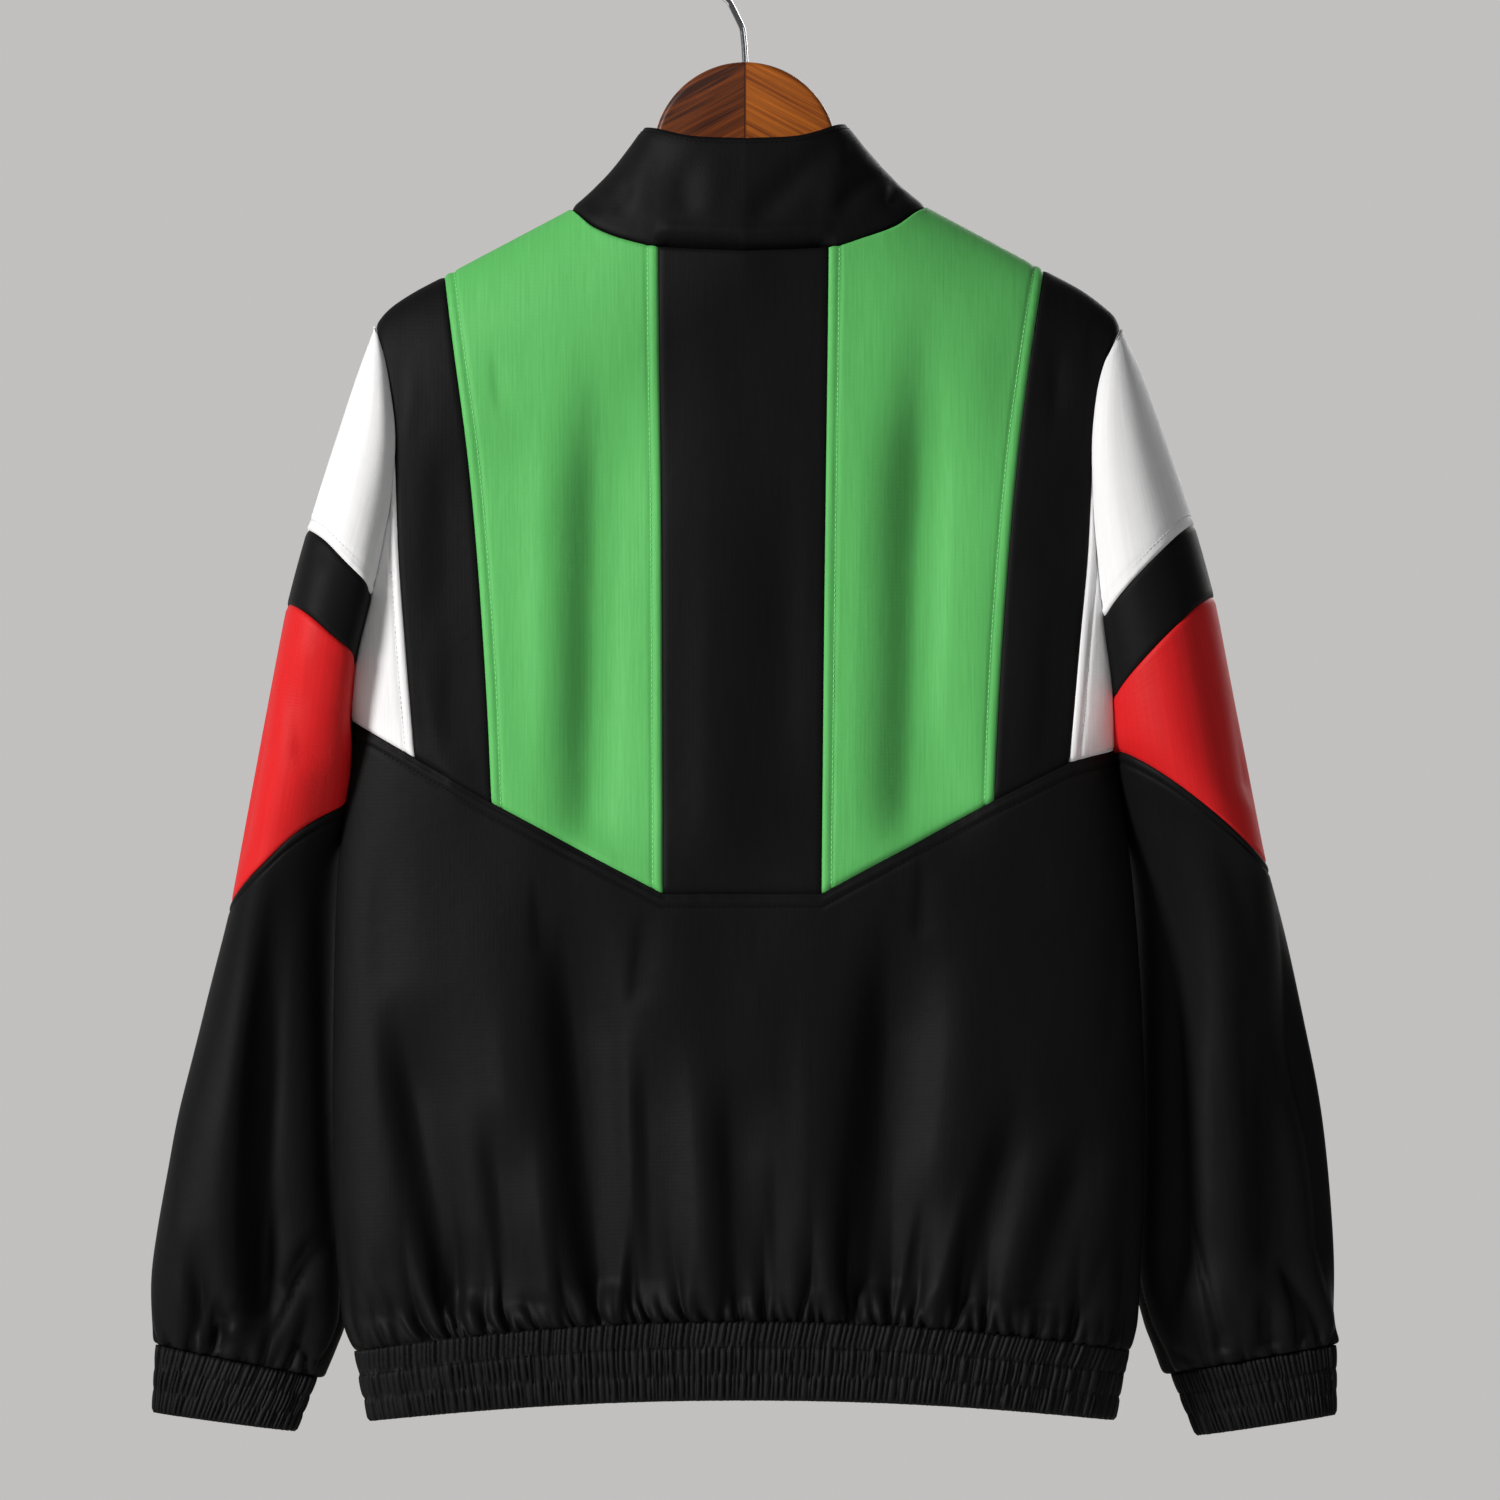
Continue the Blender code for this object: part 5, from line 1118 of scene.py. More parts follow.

# %% [markdown]
# ## The sleeves' creases
# A hanging sleeve folds in long troughs down to the cuff, and breaks into short hooked creases just above
# it. On the shown side they are placed by x and z, as on the body. On the hidden side similar ones are
# placed by their angle round the sleeve.

# %% The sleeves' creases
# columns: x of the dark flank at the top and at the bottom, bow sideways, z of the top and of the bottom,
# width, depth
SLEEVE_BACK = (
    (284, 297, 3, -530, -868, 26, 17), (297, 295, 0, -740, -838, 18, 6),
    (334, 325, 3, -776, -848, 9, 6.4), (316, 320, 4, -806, -848, 8, 6.6),
    (308, 310, 3, -800, -840, 9, -3), (299, 318, 0, -808, -832, 11, 3),
    (250, 275, 2, -764, -816, 12, 4), (245, 288, 0, -770, -846, 4, 2.4),
    (276, 282, 0, -760, -838, 14, -2.4), (273, 260, 0, -838, -852, 5, 2),
    (344, 346, 0, -640, -800, 26, -3), (302, 318, 3, -430, -560, 26, 2.6),
    (272, 268, 3, -420, -500, 16, 2.6), (276, 284, 2, -262, -352, 22, 2.4),
    (262, 254, -2, -300, -380, 12, 1.8), (-239, -247, 0, -480, -856, 28, 16),
    (-270, -273, 0, -560, -800, 20, -4), (-258, -284, 0, -756, -842, 4, 2.4),
    (-294, -304, -2, -560, -836, 50, 19), (-322, -330, -4, -784, -846, 10, 6.8),
    (-310, -307, 0, -806, -848, 10, 6.6), (-316, -344, -6, -640, -830, 24, -4),
    (-281, -282, 0, -826, -846, 7, 3.6), (-256, -272, 3, -840, -853, 5, 2.2),
    (-336, -346, 0, -806, -842, 7, 3), (-300, -296, 0, -420, -520, 24, 2.6),
    (-262, -270, 0, -262, -340, 18, 2.2), (-280, -292, 2, -290, -380, 20, -2.2),
)
# The front's. columns: angle from the inner edge over the back, place of the top, place of the bottom, lean
# in degrees, width in degrees, depth
SLEEVE_FRONT = (
    None,
    (
        (215, 3.9, 4.98, 6, 9, 3.2), (252, 4.2, 4.98, -5, 8, 3),
        (282, 1.4, 4.6, 8, 16, 3),
        (318, 3.8, 4.98, -6, 10, 2.4), (240, 0.6, 1.6, 5, 16, 1.6),
    ),
    (
        (210, 3.8, 4.78, 6, 10, 3.2), (246, 4.1, 4.78, -4, 8, 3),
        (290, 1.5, 4.5, 6, 16, 2.8),
        (322, 3.7, 4.78, -6, 10, 2.2), (236, 0.6, 1.5, 4, 16, 1.6),
    ),
)
hidden = len(SLEEVE_FRONT[LEFT] + SLEEVE_FRONT[RIGHT])
print(len(SLEEVE_BACK), "creases on the shown sides,", hidden, "on the hidden")

# %% [markdown]
# ## The rows of one piece
# Each of the four pieces is a stretch of the tube's rows, with the bend at the underarm eased. The creases
# are kept apart at first, because they are pushed in along the cloth's normal, which needs the whole grid.

# %% Rows and creases of a sleeve piece
LAST = (None, 4.948, 4.744)  # the cuff's place on each sleeve
SLEEVE_COLUMNS = 148
# where each piece starts and ends on the left and on the right sleeve, its number of rows and their spread
STRETCHES = {
    "sleeve_white": ((0.0, 0.682), (0.0, 0.683), 70, 1.4),
    "sleeve_band": ((0.682, 0.857), (0.683, 0.874), 26, 1.0),
    "sleeve_red": ((0.857, 1.49), (0.874, 1.02), 62, 1.0),
    "sleeve_lower": ((1.49, LAST[LEFT]), (1.02, LAST[RIGHT]), 144, "ends"),
}


def ease_in_out(along):
    return float(soft_step(along / 0.4) * soft_step((1 - along) / 0.25))


def sleeve_creases(side, place, angle):
    """The hidden side's creases along one row."""
    degrees = np.degrees(angle)
    total = np.zeros_like(degrees)
    for middle, top, bottom, lean, width, depth in SLEEVE_FRONT[side]:
        along = (place - top) / (bottom - top)
        if 0 < along < 1:
            centre = middle + lean * (along - 0.5)
            total += depth * ease_in_out(along) * np.exp(-(((degrees - centre) / width) ** 2))
    return total


def sleeve_grid(side, piece):
    """The piece's rows, what their creases and waves push them by, and its flat points."""
    start, stop = STRETCHES[piece][side - 1]
    wide, (high, ease) = SLEEVE_COLUMNS, STRETCHES[piece][2:]
    angle = np.linspace(0.0, 2 * math.pi, wide)
    around = 1 - np.exp(-np.minimum(angle, 2 * math.pi - angle) / 0.25)  # 0 at the inner line, 1 away from it
    rows, pushed, flat = [], [], []
    for place in start + (stop - start) * shares(high, ease):
        rows.append(sleeve_row(side, float(place), wide))
        fade = np.clip((LAST[side] - place) * 12, 0.0, 1.0)
        waves = slow_waves(60 * angle + 40 * side, 100 * np.full(wide, place), 0.7)
        raised = waves - sleeve_creases(side, float(place), angle)
        pushed.append(raised * around * fade * min(place * 3, 1.0))
        if side == LEFT:  # the red part lies flat on the back, and turns in late at its inner edge
            flatness = soft_step((place - 0.45) / 0.4) * soft_step((1.9 - place) / 0.6)
            pushed[-1] += 5.0 * flatness * np.exp(-(((angle - 0.75) / 0.42) ** 2))
        flat.append(np.stack([40 * angle, np.full(wide, -100.0 * place)], axis=-1))
    grid = np.array(rows)
    for _ in range(60):  # ease the bend that the rows take at the underarm
        grid[1:-1] += 0.5 * around[:, None] * (0.5 * (grid[:-2] + grid[2:]) - grid[1:-1])
    back = grid[..., 1] - 0.5 * (grid[:, :1, 1] + grid[:, wide // 2, 1][:, None])
    shown = np.clip(back / 12, 0.0, 1.0) * around
    pushed = np.array(pushed) - crease_depth(SLEEVE_BACK, grid[..., 0], grid[..., 2]) * shown
    return grid, pushed, np.array(flat)


print("the forearm has", SLEEVE_COLUMNS, "points round it and", STRETCHES["sleeve_lower"][2], "rows")

# %% [markdown]
# ## Sewing a sleeve piece
# The creases are pressed in, the lower part is gathered into the cuff as the body is into its band, and the
# seams are sewn and topstitched last. The edges along the inner line are pushed against the body, so that
# no light shows between sleeve and side.

# %% Press, gather and sew a sleeve piece
SLEEVE_GATHERS = (9.5, (4.4, 7.4), (7.0, 15.0), 0.2, (1.6, 2.4))  # the columns are those of BODY_GATHERS
SLEEVE_PUCKERS = (6.5, (1.5, 3.0), (3.0, 7.0), 0.0, (1.1, 1.6))
SLEEVE_FULLNESS = 1.15


def sleeve_piece(side, word, piece, look, slot):
    grid, pushed, flat = sleeve_grid(side, piece)
    middle = 0.5 * (grid[len(grid) // 2, 0] + grid[len(grid) // 2, SLEEVE_COLUMNS // 2])
    cloth = Cloth(f"{piece}_{word}_cloth", grid, middle, flat)
    if piece == "sleeve_lower":  # the troughs end at the cuff's seam
        pushed *= 1 - np.exp(-cloth.away["bottom"] / 3.0)
    cloth.push(pushed)
    if piece == "sleeve_lower":
        cloth.push(gather(cloth, ((SLEEVE_GATHERS, 50 + side), (SLEEVE_PUCKERS, 60 + side)), 5.0, 16.0))
        cloth.sew(("bottom",), 1.1, 1.2)
    # the inner edges are pushed towards the body, and most at the underarm
    close = 1.0 + 2.6 * np.exp(-(((grid[..., 2] - UNDERARM[side][1] - 2.0) / 12.0) ** 2))
    for edge in ("first", "end"):
        cloth.push(close * np.exp(-((cloth.away[edge] / 4.0) ** 2)))
    if piece != "sleeve_white":
        cloth.sew(("top",))
    if piece != "sleeve_lower":
        cloth.sew(("bottom",))
    if piece == "sleeve_white":
        cloth.topstitch("bottom", STITCH_INSET, "white")
    if piece == "sleeve_lower":
        cloth.topstitch("top", STITCH_INSET, "black", 0.12)
        cloth.topstitch("first", 7.0, "black", 0.12)
    held, fullness = ("gathered", SLEEVE_FULLNESS) if piece == "sleeve_lower" else ("hung", 1.0)
    finish_cloth(cloth, look, f"{piece}_{word}", fullness=fullness)


SLEEVE_LOOKS = {"sleeve_white": "white", "sleeve_band": "black", "sleeve_red": "red", "sleeve_lower": "black"}
print("a sleeve's colours from the shoulder down:", list(SLEEVE_LOOKS.values()))

# %% [markdown]
# ## The cuffs
# A cuff goes on from the sleeve's last row to an edge that slopes as the hand's opening does. It is shirred
# in three casings, as the hem band is, with finer ribs that lean outwards.

# %% Make the cuffs, and sew both sleeves
CUFF_RIB_SPACING, CUFF_RIB_HEIGHT = 2.9, 2.7
CUFF_LEAN = (None, -9.0, -4.0)
CUFF_EDGE = (None, (-892.8, -881.4), (-895.2, -882.6))  # z of the lower edge, at its inner and outer end


def cuff_piece(side, word):
    """The shirred cuff, doubled over its elastic."""
    last = LAST[side]
    shift, depth = (float(curve(SLEEVE_ROWS[side], last, column)) for column in (3, 2))
    count, high = 560, 18
    turn = np.linspace(0.0, 2 * math.pi, count)
    upper = sleeve_row(side, last, count, folds=False)
    across = 0.5 * (1 - np.cos(turn))
    inner_z, outer_z = CUFF_EDGE[side]
    inner = np.array([sign(side) * float(curve(SLEEVE_INNER, inner_z, side)), inner_z])
    outer = np.array([sign(side) * float(curve(SLEEVE_OUTER, outer_z, side)), outer_z])
    low = inner + (outer - inner) * across[:, None]
    swing = shift + 0.9 * depth * np.sin(turn)
    lower = np.stack([low[:, 0], swing, low[:, 1]], axis=-1)
    down = np.linspace(0.0, 1.0, high)[:, None, None]
    grid = upper[None] * (1 - down) + lower[None] * down
    flat = np.stack([np.tile(np.linspace(0.0, 240.0, count), (high, 1)), grid[..., 2]], axis=-1)
    cloth = Cloth(f"cuff_{word}_cloth", grid, grid.reshape(-1, 3).mean(axis=0), flat)
    # above 0 over the back, below 0 over the front
    outwards = 2.6 * np.sin(0.5 * turn) ** 2 * np.cos(0.5 * turn)
    shirr(cloth, CUFF_RIB_SPACING, CUFF_RIB_HEIGHT, CASINGS, CUFF_LEAN[side] * outwards[None], 70 + side)
    finish_cloth(
        cloth, black_shirring, f"cuff_{word}", 2.0, ("bottom",),
        fullness=DOUBLED_FULLNESS,
    )


for side, word in SIDES:
    for piece, colour in SLEEVE_LOOKS.items():
        sleeve_piece(side, word, piece, *LOOKS[colour][:2])
    cuff_piece(side, word)
print("sleeves:", [name for name in pieces if "sleeve" in name or "cuff" in name])

# %% [markdown]
# ## The stand collar
# The collar is a doubled band that stands on the neckline and leans in towards the neck. It is drawn
# straight from each point of the neckline to a point of its top edge, with a little sag in between.

# %% The neckline and the collar's rows
# columns: share of the way from the back centre to the front centre, x, y and z of the top edge
COLLAR_TOP = (
    (0.00, 0, 37, -119.4), (0.16, 30, 35, -117.8), (0.30, 53, 24, -114), (0.40, 61, 8, -113.2),
    (0.55, 61.5, -14, -121), (0.72, 50, -36, -141), (0.88, 24, -50, -160), (1.00, 0, -53, -168),
)
COLLAR_SAG = 3.0


def neck_line(count):
    """The neckline from the left front edge round the back to the right front edge."""
    runs = []
    for side in (LEFT, RIGHT):
        x = np.linspace(FRONT_OPENING, NECK_POINT[side], count)
        front = np.stack([sign(side) * x, neck_z(-1, side, x)], axis=-1)
        x = np.linspace(0.0, NECK_POINT[side], count)
        back = np.stack([sign(side) * x, neck_z(1, side, x)], axis=-1)
        front[-1, 1] = back[-1, 1] = curve(SHOULDER_LINE, NECK_POINT[side], side)
        runs.append(
            [
                np.stack([flat[:, 0], face * body_depth(flat[:, 0], flat[:, 1]), flat[:, 1]], axis=-1)
                for face, flat in ((-1, front), (1, back))
            ]
        )
    (front_left, back_left), (front_right, back_right) = runs
    return np.concatenate([front_left, back_left[::-1][1:], back_right[1:], front_right[::-1][1:]])


def collar_rows(count, high):
    """The collar's rows, from the neckline up to its top edge."""
    base = resample(neck_line(160), count)
    run = run_of(base)
    near = slice(count // 2 - 30, count // 2 + 31)
    middle = np.interp(0.0, -base[near, 0], run[near])
    share = np.clip(np.where(run < middle, 1 - run / middle, (run - middle) / (run[-1] - middle)), 0.0, 1.0)
    x, y, z = (curve(COLLAR_TOP, share, column) for column in (1, 2, 3))
    x = np.where(run < middle, x, -x)
    x = np.where(share > 0.985, np.sign(x + 1e-9) * np.maximum(abs(x), FRONT_OPENING), x)
    x[0], x[-1] = FRONT_OPENING, -FRONT_OPENING
    # the top stands highest at the back's two corners, and more so on the right
    z = z + np.where(x > 0, 2.3, 4.3) * np.exp(-(((share - 0.36) / 0.13) ** 2))
    z = z + 0.8 * np.exp(-((share / 0.15) ** 2))
    top = np.stack([x, y, z], axis=-1)
    rows = []
    for up in np.linspace(0.0, 1.0, high):
        row = base + (top - base) * up
        row[:, 2] -= COLLAR_SAG * math.sin(math.pi * up) * np.clip((abs(base[:, 0]) - 40) / 60, 0.0, 1.0)
        rows.append(row)
    return np.array(rows)


COLLAR_COLUMNS, COLLAR_HIGH = 360, 30
collar_grid = collar_rows(COLLAR_COLUMNS, COLLAR_HIGH)
print("neckline:", round(length_of(collar_grid[0])), "mm, top edge:", round(length_of(collar_grid[-1])), "mm")

# %% [markdown]
# ## Denting and sewing the collar
# Where the collar leans on the shoulders it kinks, and a few soft dents run across it. Over the back's
# centre panel the seam draws its foot in, which leaves a dark groove. Its top edge is turned round and
# topstitched close by.

# %% Make the collar
# Dents of its back. columns: x and z of one end, x and z of the other, width, depth
COLLAR_DENTS = (
    (-50, -122, -5, -168, 9, 2.8), (-77, -140, -56, -162, 6, 2.6), (-58, -124, -50, -160, 7, -1.4),
    (-91, -146, -87, -158, 4, 2.4), (-66, -122, -62, -134, 5, 1.4), (70, -146, 76, -162, 6, 1.1),
    (38, -136, 36, -162, 9, 1.4), (18, -128, 22, -166, 10, -1.4), (60, -126, 66, -160, 8, -1.2),
    (93, -150, 88, -161, 5, 1),
)
x, y, z = (collar_grid[..., axis] for axis in range(3))
flat = np.stack([np.tile(np.linspace(0.0, 430.0, COLLAR_COLUMNS), (COLLAR_HIGH, 1)), z], axis=-1)
collar = Cloth("collar_cloth", collar_grid, (0.0, 0.0, -160.0), flat)
dents = np.zeros_like(x)
for x_one, z_one, x_two, z_two, width, depth in COLLAR_DENTS:
    way = np.array([x_two - x_one, z_two - z_one])
    size = float(np.hypot(*way))
    along = ((x - x_one) * way[0] + (z - z_one) * way[1]) / size**2
    across = ((x - x_one) * way[1] - (z - z_one) * way[0]) / size
    dents += depth * np.exp(-((across / width) ** 2)) * np.exp(-(((along - 0.5) / 0.55) ** 4)) * (y > 0)
up = collar.away["top"] / np.maximum(collar.away["top"][-1:], 1.0)
free = np.sin(math.pi * np.clip(up, 0.0, 1.0)) ** 0.5
collar.push((-dents + slow_waves(1.4 * x, 3.0 * z, 0.5)) * free)
collar.sew(("top",), 1.4, 2.0)
# the groove at the foot, and the soft roll above it
middle = np.clip((54.0 - abs(x)) / 8.0, 0.0, 1.0) * (y > 0)
collar.push(-5.4 * middle * np.exp(-((collar.away["top"] / 5.4) ** 2)))
collar.push(1.6 * middle * np.exp(-(((collar.away["top"] - 11.0) / 4.0) ** 2)))
collar.topstitch("bottom", 3.0, "black", 0.08)
collar.topstitch("first", 5.0, "black", 0.05)
collar.topstitch("end", 5.0, "black", 0.05)
finish_cloth(
    collar, black_polyester, "collar", 2.2, ("bottom",),
)
print("collar:", flat_sizes["collar"][:2], "m round and high")

# %% [markdown]
# ## The zip
# A moulded zip has two woven tapes, whose edges carry teeth that reach across the middle and lock between
# those of the other side. The zip is closed, so it is one path up the front: over the band, up the fronts
# and up the collar. The path is read off the surface beside it and eased, and lies a little behind that
# surface.

# %% The zip's path
ZIP_TOP_GAP = 7.0  # from the collar's top edge to the end of the chain
CLEAR_BAND, CLEAR_FRONT, CLEAR_COLLAR = 3.4, 2.0, 3.9  # how far behind the surface the zip lies there


def zip_stations():
    """The front's surface from the hem up: its edge, the point a tape's width out, and the zip's depth."""
    found = []
    for z in np.linspace(hem_z(1, 6.0), hem_z(0, 6.0), 10):
        edge, wide = (smooth_body(-1, np.array([x, z])) for x in (FRONT_OPENING, TAPE_WIDTH))
        found.append((edge[1:], wide[1:], CLEAR_BAND))
    for z in np.linspace(hem_z(0, 6.0) + 3.0, float(neck_z(-1, LEFT, 6.0)), 90):
        edge, wide = (-float(body_depth(np.array(x), np.array(z))) for x in (FRONT_OPENING, TAPE_WIDTH))
        found.append((np.array([edge, z]), np.array([wide, z]), CLEAR_FRONT))
    for row in collar_grid[1::3]:
        near = row[:60]
        wide = [np.interp(TAPE_WIDTH, near[:, 0], near[:, axis]) for axis in (1, 2)]
        found.append((near[0, 1:], np.array(wide), CLEAR_COLLAR))
    return found


stations = zip_stations()
edge, wide = (np.array([station[i] for station in stations]) for i in (0, 1))
clear = np.array([station[2] for station in stations])
blend = np.array([0.25, 0.5, 0.25])  # each station takes a quarter from both neighbours
for values in (edge[:, 0], edge[:, 1], wide[:, 0], wide[:, 1], clear):
    values[1:-1] = np.convolve(values, blend, mode="valid")
way = np.gradient(edge, axis=0)
way /= np.linalg.norm(way, axis=1, keepdims=True)
out = np.stack([-way[:, 1], way[:, 0]], axis=-1)  # towards the front of the garment
length = run_of(edge)
stop = length[-1] - ZIP_TOP_GAP
seat = edge - out * clear[:, None]
seat_wide = wide - out * clear[:, None]


def along_zip(values, at):
    return read_line(values, length, at)


print("zip:", round(float(stop)), "mm long")

# %% [markdown]
# ## The tapes
# Each tape is a strip of woven webbing from the chain out to where it is sewn in, and it turns with the
# front's surface. Webbing is woven thicker than the cloth and is matt.

# %% Weave the tapes
TAPE_COLUMNS = (0.15, 1.6, 3.0, 6.0, 9.5, 13.0, TAPE_WIDTH)  # mm from the middle of the zip
at = np.linspace(0.6, stop, 240)
for side, word in SIDES:
    inner, far = along_zip(seat, at), along_zip(seat_wide, at)
    columns = []
    for x in TAPE_COLUMNS:
        part = max((x - FRONT_OPENING) / (TAPE_WIDTH - FRONT_OPENING), 0.0)
        point = inner * (1 - part) + far * part
        columns.append(np.stack([np.full(len(at), sign(side) * x), point[:, 0], point[:, 1]], axis=-1))
    grid = np.array(columns).transpose(1, 0, 2)[::-1]
    inside = grid[120, 3] + np.array([0.0, 50.0, 0.0])
    cloth = Cloth(f"zip_tape_{word}_webbing", grid, inside, grid[..., [0, 2]])
    finish_cloth(cloth, zip_webbing, f"zip_tape_{word}", 0.8)
print("tapes:", flat_sizes["zip_tape_left"][:2], "m")

# %% [markdown]
# ## Zip teeth
# Acetal teeth are injected straight onto the tape: a body that grips the cord, and a head that locks
# between the heads of the other side. They are glossy, with a fine unevenness from the mould.

# %% Moulded acetal
def smooth_finish(name, colour, roughness):
    """Moulded acetal, or paint on cast metal: smooth and glossy, with a fine unevenness."""
    made, tree, shader = start_material(name)
    grain = noise(tree, add_node(tree, "ShaderNodeTexCoord").outputs["Object"], 900.0, 2.0)
    vary_roughness(tree, shader, grain, roughness - 0.06, roughness + 0.08)
    add_relief(tree, shader, grain, 0.15, 0.0001)
    shader.inputs["Base Color"].default_value = linear(colour)
    shader.inputs["IOR"].default_value = 1.48
    return made


black_acetal = smooth_finish("black_moulded_acetal", "#17181a", 0.32)
print("tooth material:", black_acetal.name)

# %% [markdown]
# ## One tooth
# A cube is shaped into one tooth. An operator acts on all that is selected, so everything is deselected
# first. The corners on one side are then picked by their place and scaled, which tapers the tooth, and one
# bevel goes round all of its edges.

# %% Model one tooth
TOOTH_PITCH = 1.55
TOOTH_SIZE = (3.3, 2.1, 1.35)  # mm across, deep and high


def deselect():
    if bpy.context.object and bpy.context.object.mode != "OBJECT":
        bpy.ops.object.mode_set(mode="OBJECT")
    bpy.ops.object.select_all(action="DESELECT")


def pick(obj, kind, test):
    """Select the vertices, edges or faces that pass a test, leaving edit mode ready for an operator."""
    bpy.ops.object.mode_set(mode="OBJECT")
    for group in (obj.data.polygons, obj.data.edges, obj.data.vertices):
        for item in group:
            item.select = False
    for item in getattr(obj.data, kind):
        item.select = test(item)
    bpy.ops.object.mode_set(mode="EDIT")
    mode = {"vertices": "VERT", "edges": "EDGE", "polygons": "FACE"}[kind]
    bpy.ops.mesh.select_mode(type=mode)


deselect()
bpy.ops.mesh.primitive_cube_add(size=MM)
tooth = bpy.context.object
tooth.scale = TOOTH_SIZE
bpy.ops.object.transform_apply(scale=True)
pick(tooth, "vertices", lambda v: v.co.x < 0)
bpy.ops.transform.resize(value=(1.0, 0.8, 1.15))
bpy.ops.mesh.select_all(action="SELECT")
bpy.ops.mesh.bevel(offset=0.28 * MM, segments=1)
bpy.ops.object.mode_set(mode="OBJECT")
tooth_points = np.array([v.co[:] for v in tooth.data.vertices]) / MM
tooth_faces = [tuple(p.vertices) for p in tooth.data.polygons]
bpy.data.objects.remove(tooth)
print("one tooth:", len(tooth_faces), "faces")

# %% [markdown]
# ## Copying a small shape
# The tooth, and later the stitch, is repeated hundreds of times. Each copy has its own place and three
# directions, and all go into one mesh, which is far lighter than hundreds of objects.

# %% Copy the tooth along the zip
def repeat_shape(name, points, faces, places, look):
    """Copy a small shape to many places, each with its own corner and three directions."""
    made = bpy.data.meshes.new(name)
    corners = np.einsum("pk,nkd->npd", points, np.array([axes for _, axes in places]))
    corners += np.array([spot for spot, _ in places])[:, None]
    all_faces = []
    for i in range(len(places)):
        all_faces += [tuple(index + i * len(points) for index in face) for face in faces]
    made.from_pydata((corners.reshape(-1, 3) * MM).tolist(), [], all_faces)
    made.materials.append(look)
    obj = bpy.data.objects.new(name, made)
    bpy.context.collection.objects.link(obj)
    return obj


places = []
CHAIN_FORWARD = 1.55  # mm from the tapes to the middle of the teeth
for number, at in enumerate(np.arange(1.5, stop - 3.0, TOOTH_PITCH)):
    point, up, front = (along_zip(values, np.array([at]))[0] for values in (seat, way, out))
    middle = point + front * CHAIN_FORWARD
    s = 1.0 if number % 2 else -1.0
    axes = np.array([[s, 0.0, 0.0], [0.0, front[0], front[1]], [0.0, up[0], up[1]]])
    if s < 0:
        axes[1] = -axes[1]
    places.append((np.array([s * 1.05, middle[0], middle[1]]), axes))
teeth = repeat_shape("zip_teeth", tooth_points, tooth_faces, places, black_acetal)
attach(teeth, "jacket")
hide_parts("zip_chain")
print(len(places), "teeth")

# %% [markdown]
# ## Thread
# Topstitching holds each seam flat. A stitch is a short piece of thread that dips into the cloth at both
# ends, so it is a spindle of four sides: thick in the middle, thin and sunk at its ends.

# %% One stitch and its thread
def spindle():
    """A stitch one unit long, thick in the middle and thin at its ends."""
    rings = ((-0.5, 0.25, -0.5), (-0.25, 1.0, 0.2), (0.25, 1.0, 0.2), (0.5, 0.25, -0.5))
    points = [
        (along, radius * math.cos(turn), radius * math.sin(turn) + lift)
        for along, radius, lift in rings
        for turn in np.arange(4) * 2 * math.pi / 4
    ]
    faces = [
        (4 * ring + i, 4 * ring + 4 + i, 4 * ring + 4 + (i + 1) % 4, 4 * ring + (i + 1) % 4)
        for ring in range(3)
        for i in range(4)
    ]
    return np.array(points), [face[::-1] for face in faces] + [(0, 1, 2, 3), (15, 14, 13, 12)]


def sewing_thread(name, colour):
    """Spun polyester thread: matt and twisted, with a fine fuzz."""
    made, tree, shader = start_material(name)
    fuzz = noise(tree, add_node(tree, "ShaderNodeTexCoord").outputs["Object"], 1500.0, 2.0)
    add_relief(tree, shader, fuzz, 0.4, 0.0002)
    shader.inputs["Base Color"].default_value = linear(colour)
    shader.inputs["Roughness"].default_value = 0.75
    shader.inputs["Specular IOR Level"].default_value = 0.1
    return made


stitch_points, stitch_faces = spindle()
print("one stitch:", len(stitch_faces), "faces")

# %% [markdown]
# ## Sewing it all
# The stitch is copied along every line that was noted above, in thread close to the cloth's own colour. The
# green thread is lighter than its cloth, partly as a painted highlight on the stitches' ridge, and the black
# thread darker than its cloth, partly as painted shade in the stitched rows. Each copy lies along its line,
# with its upper side turned out of the cloth.

# %% Lay the stitches
STITCH, STITCH_PITCH, THREAD = 2.3, 3.0, 0.26  # in mm: its length, from one to the next, the thread's radius
# The green and black tones are partly painted light: a painted highlight on the green stitches, painted shade
# on the black ones.
THREADS = {"green": "#86d98c", "white": "#c9cbce", "black": "#050506"}
for colour, lines in stitch_lines.items():
    places = []
    for points, normals in lines:
        if len(points) < 4:
            continue
        run = run_of(points)
        middle = np.arange(2.5, run[-1] - 2.5, STITCH_PITCH)
        start, end = (read_line(points, run, middle + half * STITCH) for half in (-0.5, 0.5))
        ahead, centre = end - start, 0.5 * (end + start)
        normal = read_line(normals, run, middle)
        normal /= np.linalg.norm(normal, axis=1, keepdims=True)
        ahead /= np.linalg.norm(ahead, axis=1, keepdims=True)
        aside = np.cross(normal, ahead)
        for i in range(len(middle)):
            axes = np.array([ahead[i] * STITCH, aside[i] * THREAD, normal[i] * THREAD])
            places.append((centre[i] + normal[i] * 0.1, axes))
    name = f"{colour}_stitches"
    thread = sewing_thread(f"{colour}_sewing_thread", THREADS[colour])
    stitches = repeat_shape(name, stitch_points, stitch_faces, places, thread)
    stitches.data.shade_smooth()
    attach(stitches, "jacket")
    print(name, len(places))
